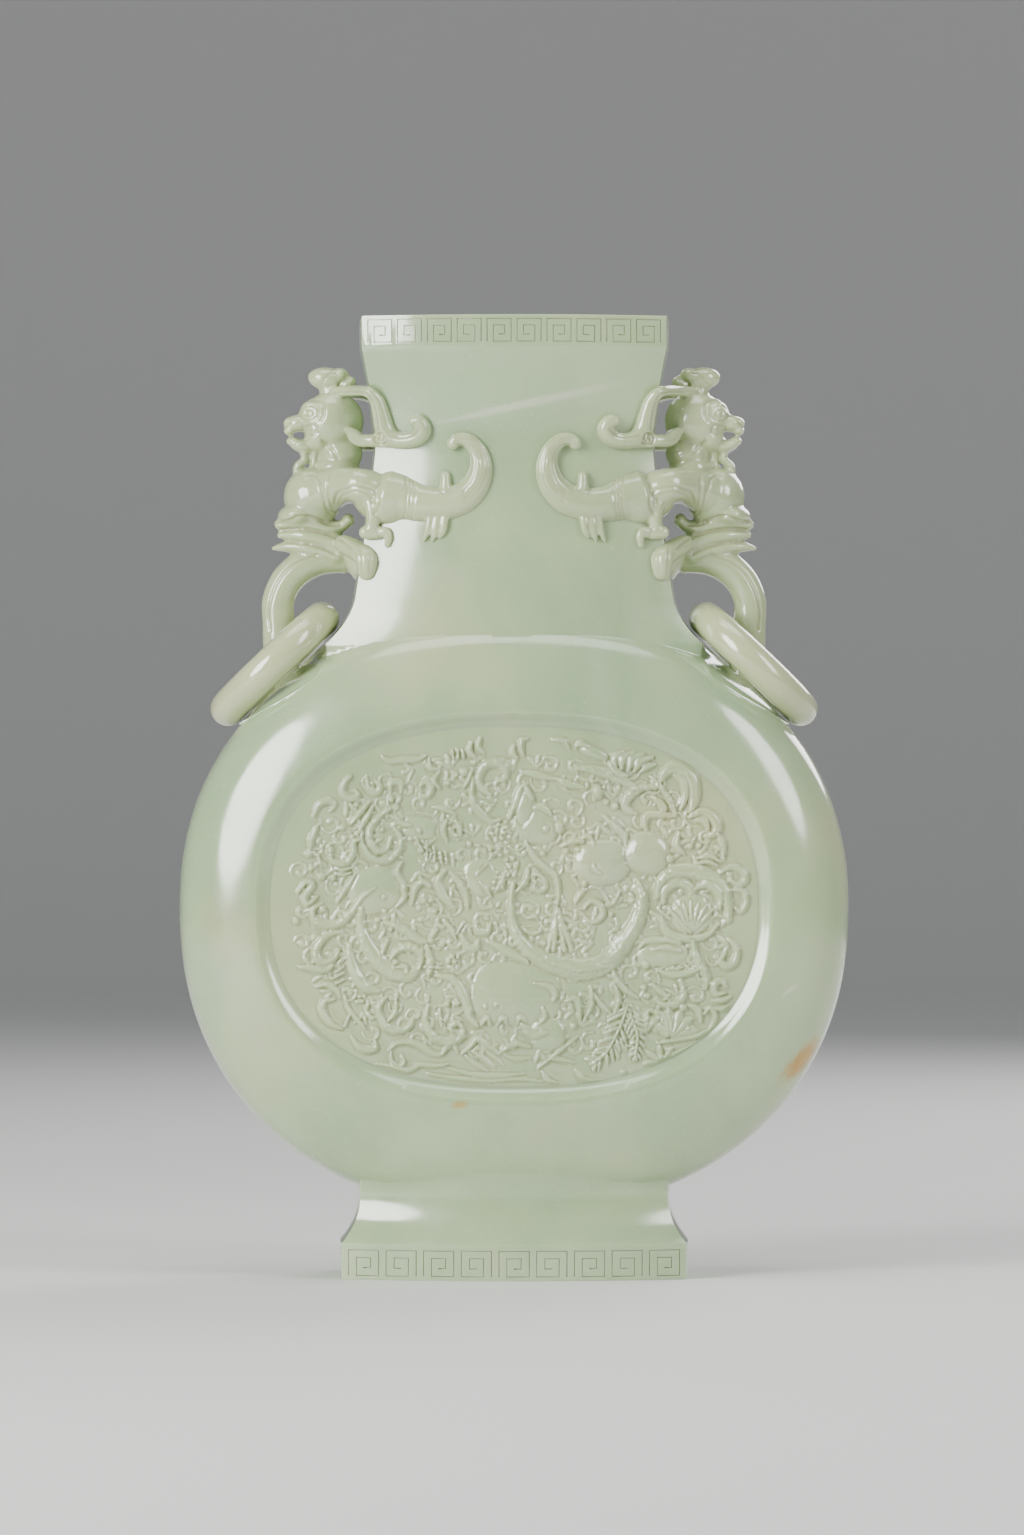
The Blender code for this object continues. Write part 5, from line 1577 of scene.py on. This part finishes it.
def engraved_lines():
    """The fine cuts on the beast's two broad sides: a depth, a half width and the places they pass."""
    lines = [
        (0.42, 0.34, ring_line(17.9, 43.4, 2.7, 2.2)),
        (0.40, 0.30, ring_line(17.7, 43.3, 1.3, 1.1)),
        (0.40, 0.40, ((21.0, 45.4), (18.0, 47.2), (14.6, 46.4), (13.6, 43.4), (14.8, 41.0))),
        (0.45, 0.36, ((18.8, 39.4), (17.0, 39.9), (15.7, 38.7), (16.4, 37.2), (17.8, 37.6))),
        (0.50, 0.45, ((25.4, 37.2), (23.4, 37.1), (20.6, 37.1))),
        (0.50, 0.40, ((24.6, 40.0), (23.6, 40.7))),
        (0.35, 0.45, ((14.0, 35.4), (11.6, 33.4), (9.8, 30.2))),
        (0.90, 0.34, ring_line(-2.3, 35.6, 2.0, 1.9, 1.6, 0.80, 220)),
        (0.40, 0.34, ((8.0, 49.2), (3.6, 48.9), (0.8, 47.6), (-0.4, 45.0), (-1.2, 41.4), (-1.5, 38.4))),
        (0.35, 0.34, ((-5.0, 36.4), (-8.6, 35.9), (-11.8, 36.8), (-13.2, 38.4))),
        (0.45, 0.40, ((10.6, 17.4), (9.4, 20.8), (4.6, 22.2), (0.0, 21.2), (-2.0, 17.8), (-0.8, 14.4))),
        (0.35, 0.32, ((9.4, 17.4), (8.2, 19.7), (4.4, 20.8), (0.9, 19.8), (-0.5, 17.4))),
        (0.45, 0.36, ((18.6, 25.8), (16.4, 25.6), (15.0, 23.6), (13.8, 19.8), (12.9, 16.2), (10.6, 13.6))),
        (0.40, 0.34, ((12.4, 25.4), (12.4, 21.6), (11.8, 17.8), (9.8, 15.0))),
        (0.75, 0.50, ((27.0, 12.9), (23.4, 12.7), (20.4, 14.2), (16.6, 13.6), (12.6, 12.2), (9.0, 11.8))),
        (0.60, 0.45, ((26.0, 10.4), (20.4, 10.6), (14.0, 9.6), (9.6, 8.0), (6.2, 5.0))),
        (0.60, 0.45, ((26.0, 7.0), (21.0, 6.9), (15.0, 5.6), (10.4, 3.6))),
        (0.35, 0.32, ((3.4, 4.4), (3.2, 0.4), (2.9, -3.2))), (0.30, 0.30, ((0.6, 3.4), (0.6, -2.4))),
        (0.45, 0.38, ((15.4, 3.4), (22.2, 0.9), (27.2, -4.9), (29.4, -12.2), (29.0, -18.0))),
        (0.35, 0.30, ((14.4, 51.6), (12.4, 54.2), (9.6, 54.6))),
        (0.40, 0.32, ((9.6, 51.4), (8.4, 52.6), (6.4, 53.0))),
        (0.40, 0.32, ((-1.2, 10.2), (-2.0, 8.0), (-1.4, 5.4), (-1.2, 1.6))),
    ]
    for shift in (0.0, 1.0, 2.0):
        places = ((-8.9, 27.0), (-9.9, 22.5), (-9.7, 17), (-8.9, 12.4))
        lines.append((0.34, 0.30, tuple((out - shift, up) for out, up in places)))
    tail = ((-24.0, 35.2), (-27.3, 34.7), (-29.9, 31.8), (-30.8, 27.2), (-29.3, 22.4), (-25.8, 19.0))
    for shift in (-1.5, -0.5, 0.5, 1.5):
        middle = (-24.6, 27.0)
        line = []
        for out, up in tail:
            reach = math.hypot(out - middle[0], up - middle[1])
            line.append((out + shift * (out - middle[0]) / reach, up + shift * (up - middle[1]) / reach))
        lines.append((0.30, 0.28, line))
    return lines


def engrave(thing):
    """Sinks the points near the cut lines, on the sides that face forwards and backwards."""
    data = thing.data
    place = read_points(data, "co")
    normal = read_points(data, "normal")
    out = (place[:, 0] - WAIST_HALF_WIDTH) / MM
    up = (place[:, 2] - BEAST_Z) / MM
    facing = np.clip((np.abs(normal[:, 1]) - BEAST_FORWARD_LEAST) / BEAST_FORWARD_RANGE, 0, 1)
    facing = facing * (np.sign(normal[:, 1]) == np.sign(place[:, 1]))
    sunk = np.zeros(len(place))
    panel = Panel(out, up)
    for depth, half_width, points in engraved_lines():
        path = smooth_path(points, 5)
        share = panel.nearest(path, np.full(len(path), half_width))
        sunk = np.maximum(sunk, depth * np.exp(-(share**2)))
    place -= normal * (sunk * facing * MM)[:, None]
    data.vertices.foreach_set("co", place.reshape(-1))
    data.update()
    return np.clip(sunk * facing / 0.5, 0, 1)


def read_points(data, key):
    values = np.empty(len(data.vertices) * 3)
    data.vertices.foreach_get(key, values)
    return values.reshape(-1, 3)


def shared_points(points, others):
    """1 for each point that is also one of the others, to a hundredth of a millimetre, and 0 for the rest."""
    known = {tuple(place) for place in np.round(others / (0.01 * MM)).astype(int)}
    return np.array([tuple(place) in known for place in np.round(points / (0.01 * MM)).astype(int)], float)


def mirror_points(points, faces, axis):
    """The same form on the other side of a plane through the origin."""
    turned = points.copy()
    turned[:, axis] *= -1
    return turned, [list(reversed(face)) for face in faces]


def beast_shape():
    """The right handle's parts, not yet one form."""
    works = beast_middle()
    for points, faces in beast_flank():
        works += [(points, faces), mirror_points(points, faces, 1)]
    return gathered(works)


def carved_form(name, points, faces, voxel, stone):
    """One closed form from overlapping parts, smoothed as polished stone."""
    rough = write_mesh(name + "_rough", points, faces)
    remesh = rough.modifiers.new("one form", "REMESH")
    remesh.mode = "VOXEL"
    remesh.voxel_size = voxel
    soften = rough.modifiers.new("polish", "SMOOTH")
    soften.factor = 0.5
    soften.iterations = 3
    return settled(rough, name, stone)


def tuck(thing):
    """Draws what would stand out inside the neck's hollow back into the neck's wall."""
    place = read_points(thing.data, "co")
    wide, deep = np.vectorize(neck_sizes)(np.clip(place[:, 2], NECK_ROOT_Z, HEIGHT - LIP_HEIGHT))
    buried = BURIED_SHARE * NECK_WALL
    side = wide - buried - place[:, 0]
    face = deep - buried - FACE_BOW * (place[:, 0] / wide) ** 2 - np.abs(place[:, 1])
    within = (side > 0) & (face > 0)
    sideways = within & (side < face)
    place[:, 0] += np.where(sideways, side, 0.0)
    place[:, 1] += np.where(within & ~sideways, np.copysign(face, place[:, 1]), 0.0)
    thing.data.vertices.foreach_set("co", place.reshape(-1))
    thing.data.update()


def hollow_share(thing, rounds, depth):
    """How far each point lies under the smoothed surface, from 0 to 1."""
    data = thing.data
    count = len(data.vertices)
    place = read_points(data, "co")
    normal = read_points(data, "normal")
    pairs = np.empty(len(data.edges) * 2, np.int64)
    data.edges.foreach_get("vertices", pairs)
    pairs = pairs.reshape(-1, 2)
    links = np.bincount(pairs.reshape(-1), minlength=count)[:, None]
    smooth = place.copy()
    for _ in range(rounds):
        total = np.zeros_like(smooth)
        for axis in range(3):
            total[:, axis] = np.bincount(pairs[:, 0], smooth[pairs[:, 1], axis], count)
            total[:, axis] += np.bincount(pairs[:, 1], smooth[pairs[:, 0], axis], count)
        smooth = 0.5 * smooth + 0.5 * total / np.maximum(links, 1)
    return np.clip(np.einsum("ij,ij->i", smooth - place, normal) / depth, 0, 1)


# Rings


def ring_place():
    """The right ring's centre, the way down the shoulder, and the way out of it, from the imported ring."""
    low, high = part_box("ring_right")
    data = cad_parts["ring_right"].data
    place = np.array([vert.co for vert in data.vertices])
    centre = Vector((low + high) / 2)
    spread = np.linalg.eigh(np.cov((place - place.mean(axis=0)).T))[1][:, 0]
    out = Vector(spread)
    if out.z < 0:
        out = -out
    along = Vector((out.z, 0.0, -out.x))
    return centre, along, out


def ring_tree():
    """A round ring of stone from two circles."""
    tree, given, result = new_tree(
        "Loose ring",
        (
            ("Radius", "NodeSocketFloat"),
            ("Thickness", "NodeSocketFloat"),
            ("Sides", "NodeSocketInt"),
            ("Round", "NodeSocketInt"),
            ("Stone", "NodeSocketMaterial"),
        ),
    )
    path, section = (
        add_node(
            tree,
            "GeometryNodeCurvePrimitiveCircle",
            Resolution=given.outputs[steps],
            Radius=given.outputs[radius],
        )
        for steps, radius in (("Sides", "Radius"), ("Round", "Thickness"))
    )
    swept = add_node(tree, "GeometryNodeCurveToMesh", Curve=path.outputs[0])
    tree.links.new(section.outputs[0], swept.inputs["Profile Curve"])
    whole = add_node(tree, "GeometryNodeRealizeInstances", Geometry=swept.outputs[0])
    tree.links.new(covered(tree, whole, given), result.inputs[0])
    return tree


# Operators


class JADE_OT_body(bpy.types.Operator):
    """Builds the hollow body, neck and foot as one piece, with key fret round the mouth and the foot"""

    bl_idname = "jade_vase.body"
    bl_label = "Body, neck and foot"

    def execute(self, context):
        sizes = context.scene.vase_sizes
        stone = stone_for("body_stone", 0.0, 13.0, 0.0018)
        neck = loft("neck", shoulder_rows() + neck_rows(0.0))
        vase = combined(body_solid(), [neck, foot_solid()], "UNION", "vase_stone", stone)
        vase = combined(vase, hollow_solids(), "DIFFERENCE", "vase_stone", stone)
        tree = fret_tree()
        cutters = []
        lip_low = HEIGHT - LIP_HEIGHT + FRET_LIP_DROP
        lip_high = HEIGHT - FRET_LIP_GAP
        band_high = FOOT_BAND_HEIGHT - FRET_MARGIN
        mouth = (MOUTH_HALF_WIDTH, MOUTH_HALF_DEPTH, lip_low, lip_high, sizes.mouth_keys)
        foot = (FOOT_HALF_WIDTH, FOOT_HALF_DEPTH, FRET_LIP_GAP, band_high, sizes.foot_keys)
        for wide, deep, low, high, count in (mouth, foot):
            corner_wide, corner_deep = wide - SIDE_BOW, deep - FACE_BOW
            side_count = max(2, round(count * corner_deep / corner_wide))
            for keys, near, far, along, turned in (
                (count, corner_deep, deep, corner_wide, False),
                (side_count, corner_wide, wide, corner_deep, True),
            ):
                cutters += fret_cutters(
                    tree, stone, keys, sizes.fret_groove, near, far, along, low, high, turned
                )
        grooves = np.concatenate([read_points(cutter.data, "co") for cutter in cutters])
        vase = combined(vase, cutters, "DIFFERENCE", "vase_stone", stone)
        sharpen(vase, 32)
        # Painted shade: the points in the fret grooves get the full hollow tint, so the grooves read darker.
        set_hollow(vase, shared_points(read_points(vase.data, "co"), grooves))
        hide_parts("vase")
        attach(vase, "root")
        return {"FINISHED"}


class JADE_OT_reliefs(bpy.types.Operator):
    """Carves the sunk oval fields of the front and the back"""

    bl_idname = "jade_vase.reliefs"
    bl_label = "Carved fields"

    def execute(self, context):
        sizes = context.scene.vase_sizes
        stone = stone_for("field_stone", 0.16, 13.0, 0.0016)
        fields = (
            ("front_field", -1, sizes.relief_cell, sizes.relief_height, front_figures),
            ("back_field", 1, sizes.relief_cell * BACK_CELL_SHARE, sizes.back_relief_height, back_figures),
        )
        for name, facing, cell, top, draw in fields:
            slab = relief_slab(name, facing, cell, top, draw, stone)
            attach(slab, "root")
        return {"FINISHED"}


class JADE_OT_handles(bpy.types.Operator):
    """Carves the two horned beasts, each with the loop that holds its ring"""

    bl_idname = "jade_vase.handles"
    bl_label = "Beast handles"

    def execute(self, context):
        sizes = context.scene.vase_sizes
        stone = stone_for("beast_stone", 0.34, 22.0, 0.0024)
        points, faces = beast_shape()
        right = carved_form("beast_right", points, faces, sizes.carving_voxel, stone)
        tuck(right)
        cuts = engrave(right)
        # Painted shade with warm residue: the creases and the engraved cuts get the ochre hollow tint.
        set_hollow(right, np.maximum(hollow_share(right, 10, 0.35 * MM), 0.7 * cuts))
        left = right.copy()
        left.data = right.data.copy()
        left.name = "beast_left"
        left.data.transform(Matrix.Diagonal((-1.0, 1.0, 1.0, 1.0)))
        left.data.flip_normals()
        bpy.context.scene.collection.objects.link(left)
        for beast in (right, left):
            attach(beast, "root")
        return {"FINISHED"}


class JADE_OT_rings(bpy.types.Operator):
    """Hangs a loose ring in the loop under each beast"""

    bl_idname = "jade_vase.rings"
    bl_label = "Loose rings"

    def execute(self, context):
        sizes = context.scene.vase_sizes
        stone = stone_for("ring_stone", 0.62, 30.0, 0.0032)
        tree = ring_tree()
        centre, along, out = ring_place()
        turn = Matrix((along, out.cross(along), out)).transposed().to_4x4()
        for name, side in (("ring_right", 1.0), ("ring_left", -1.0)):
            holder = write_mesh(name + "_start", [(0, 0, 0)], [])
            values = {
                "Radius": sizes.ring_radius,
                "Thickness": sizes.ring_tube,
                "Sides": 128,
                "Round": 40,
                "Stone": stone,
            }
            ring = settled(with_tree(holder, tree, values), name + "_stone", stone)
            ring.data.transform(Matrix.Translation(centre) @ turn)
            if side < 0:
                ring.data.transform(Matrix.Diagonal((-1.0, 1.0, 1.0, 1.0)))
                ring.data.flip_normals()
            set_hollow(ring, np.zeros(len(ring.data.vertices)))
            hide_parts(name)
            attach(ring, "root")
        return {"FINISHED"}


class JADE_OT_stage(bpy.types.Operator):
    """Sets the pale floor, the soft lights and the camera"""

    bl_idname = "jade_vase.stage"
    bl_label = "Studio"

    def execute(self, context):
        colours = context.scene.vase_colours
        light = context.scene.vase_light
        self.sweep(colours)
        self.lamp("key", (-0.90, -0.90, 0.54), (0.68, 0.86), light.key)
        self.lamp("side", (0.98, -0.74, 0.74), (0.42, 0.84), light.side)
        self.lamp("top", (0.0, -0.1, 1.25), (0.9, 0.6), light.top)
        self.lamp("back", (0.75, 1.15, 0.85), (0.90, 0.90), light.back)
        world = bpy.data.worlds.new("studio")
        world.use_nodes = True
        room = world.node_tree.nodes["Background"]
        room.inputs["Color"].default_value = (0.93, 0.96, 1.0, 1.0)
        room.inputs["Strength"].default_value = light.room
        context.scene.world = world
        self.camera(context)
        return {"FINISHED"}

    def sweep(self, colours):
        """A round pale floor that curves up into a low wall on all sides."""
        profile = [(0.02, 0.0), (1.2, 0.0), (FLOOR_REACH, 0.0)]
        for i in range(1, 13):
            angle = math.pi / 2 * i / 12
            reach = FLOOR_REACH + (WALL_REACH - FLOOR_REACH) * math.sin(angle)
            profile.append((reach, WALL_CURVE_HEIGHT * (1 - math.cos(angle))))
        profile.append((WALL_REACH, WALL_TOP))
        sides = 96
        turns = 2 * math.pi * np.arange(sides) / sides
        rows = []
        for reach, z in profile:
            rows.append(np.stack((reach * np.cos(turns), reach * np.sin(turns), np.full(sides, z)), axis=-1))
        faces = grid_faces(len(rows), sides, True)
        faces.append(tuple(range(sides)))
        floor = write_mesh("studio_floor", np.concatenate(rows), faces, floor_material(colours))

    def lamp(self, name, place, size, power):
        """An oval soft light aimed at the vase's middle."""
        data = bpy.data.lights.new(name, "AREA")
        data.shape = "ELLIPSE"
        data.size, data.size_y = size
        data.energy = power
        lamp = bpy.data.objects.new(name, data)
        lamp.location = place
        aim = Vector((0.0, 0.0, 0.5 * HEIGHT)) - Vector(place)
        lamp.rotation_euler = aim.to_track_quat("-Z", "Y").to_euler()
        bpy.context.scene.collection.objects.link(lamp)

    def camera(self, context):
        """A level camera near half the vase's height; the photograph's long side spans 434 mm there."""
        data = bpy.data.cameras.new("camera")
        data.sensor_width = SENSOR_WIDTH
        data.lens = SENSOR_WIDTH * CAMERA_DISTANCE / VIEW_SPAN
        camera = bpy.data.objects.new("camera", data)
        camera.location = (CAMERA_X, -CAMERA_DISTANCE, CAMERA_Z)
        camera.rotation_euler = (math.pi / 2, 0.0, 0.0)
        bpy.context.scene.collection.objects.link(camera)
        context.scene.camera = camera


def floor_material(colours):
    """Pale matt paper with a faint unevenness."""
    paper = bpy.data.materials.new("studio_paper")
    paper.use_nodes = True
    tree = paper.node_tree
    shader = tree.nodes["Principled BSDF"]
    where = add_node(tree, "ShaderNodeTexCoord").outputs["Object"]
    cloud = add_node(tree, "ShaderNodeTexNoise", Vector=where, Scale=3.0, Detail=3.0)
    share = add_node(tree, "ShaderNodeMapRange", i0=cloud.outputs["Fac"], i4=0.06)
    colour = mixed(tree, share.outputs[0], (*colours.floor, 1.0), (0.5, 0.5, 0.5, 1.0))
    tree.links.new(colour, shader.inputs["Base Color"])
    shader.inputs["Roughness"].default_value = 0.7
    return paper


class JADE_PT_panel(bpy.types.Panel):
    """Lists the vase's pieces and its settings"""

    bl_label = "Jade vase"
    bl_idname = "JADE_PT_panel"
    bl_space_type = "VIEW_3D"
    bl_region_type = "UI"
    bl_category = "Jade vase"

    def draw(self, context):
        scene = context.scene
        for group in (scene.vase_sizes, scene.vase_colours, scene.vase_light):
            box = self.layout.box()
            for key in group.__annotations__:
                box.prop(group, key)
        for step in STEPS:
            self.layout.operator(step.bl_idname)


STEPS = (JADE_OT_body, JADE_OT_reliefs, JADE_OT_handles, JADE_OT_rings, JADE_OT_stage)
GROUPS = (VaseSizes, VaseColours, StudioLight)


def register():
    for item in (*GROUPS, *STEPS, JADE_PT_panel):
        bpy.utils.register_class(item)
    bpy.types.Scene.vase_sizes = PointerProperty(type=VaseSizes)
    bpy.types.Scene.vase_colours = PointerProperty(type=VaseColours)
    bpy.types.Scene.vase_light = PointerProperty(type=StudioLight)


def unregister():
    del bpy.types.Scene.vase_light
    del bpy.types.Scene.vase_colours
    del bpy.types.Scene.vase_sizes
    for item in reversed((*GROUPS, *STEPS, JADE_PT_panel)):
        bpy.utils.unregister_class(item)


def main():
    register()
    bpy.ops.jade_vase.body()
    bpy.ops.jade_vase.reliefs()
    bpy.ops.jade_vase.handles()
    bpy.ops.jade_vase.rings()
    bpy.ops.jade_vase.stage()


if __name__ == "__main__":
    main()
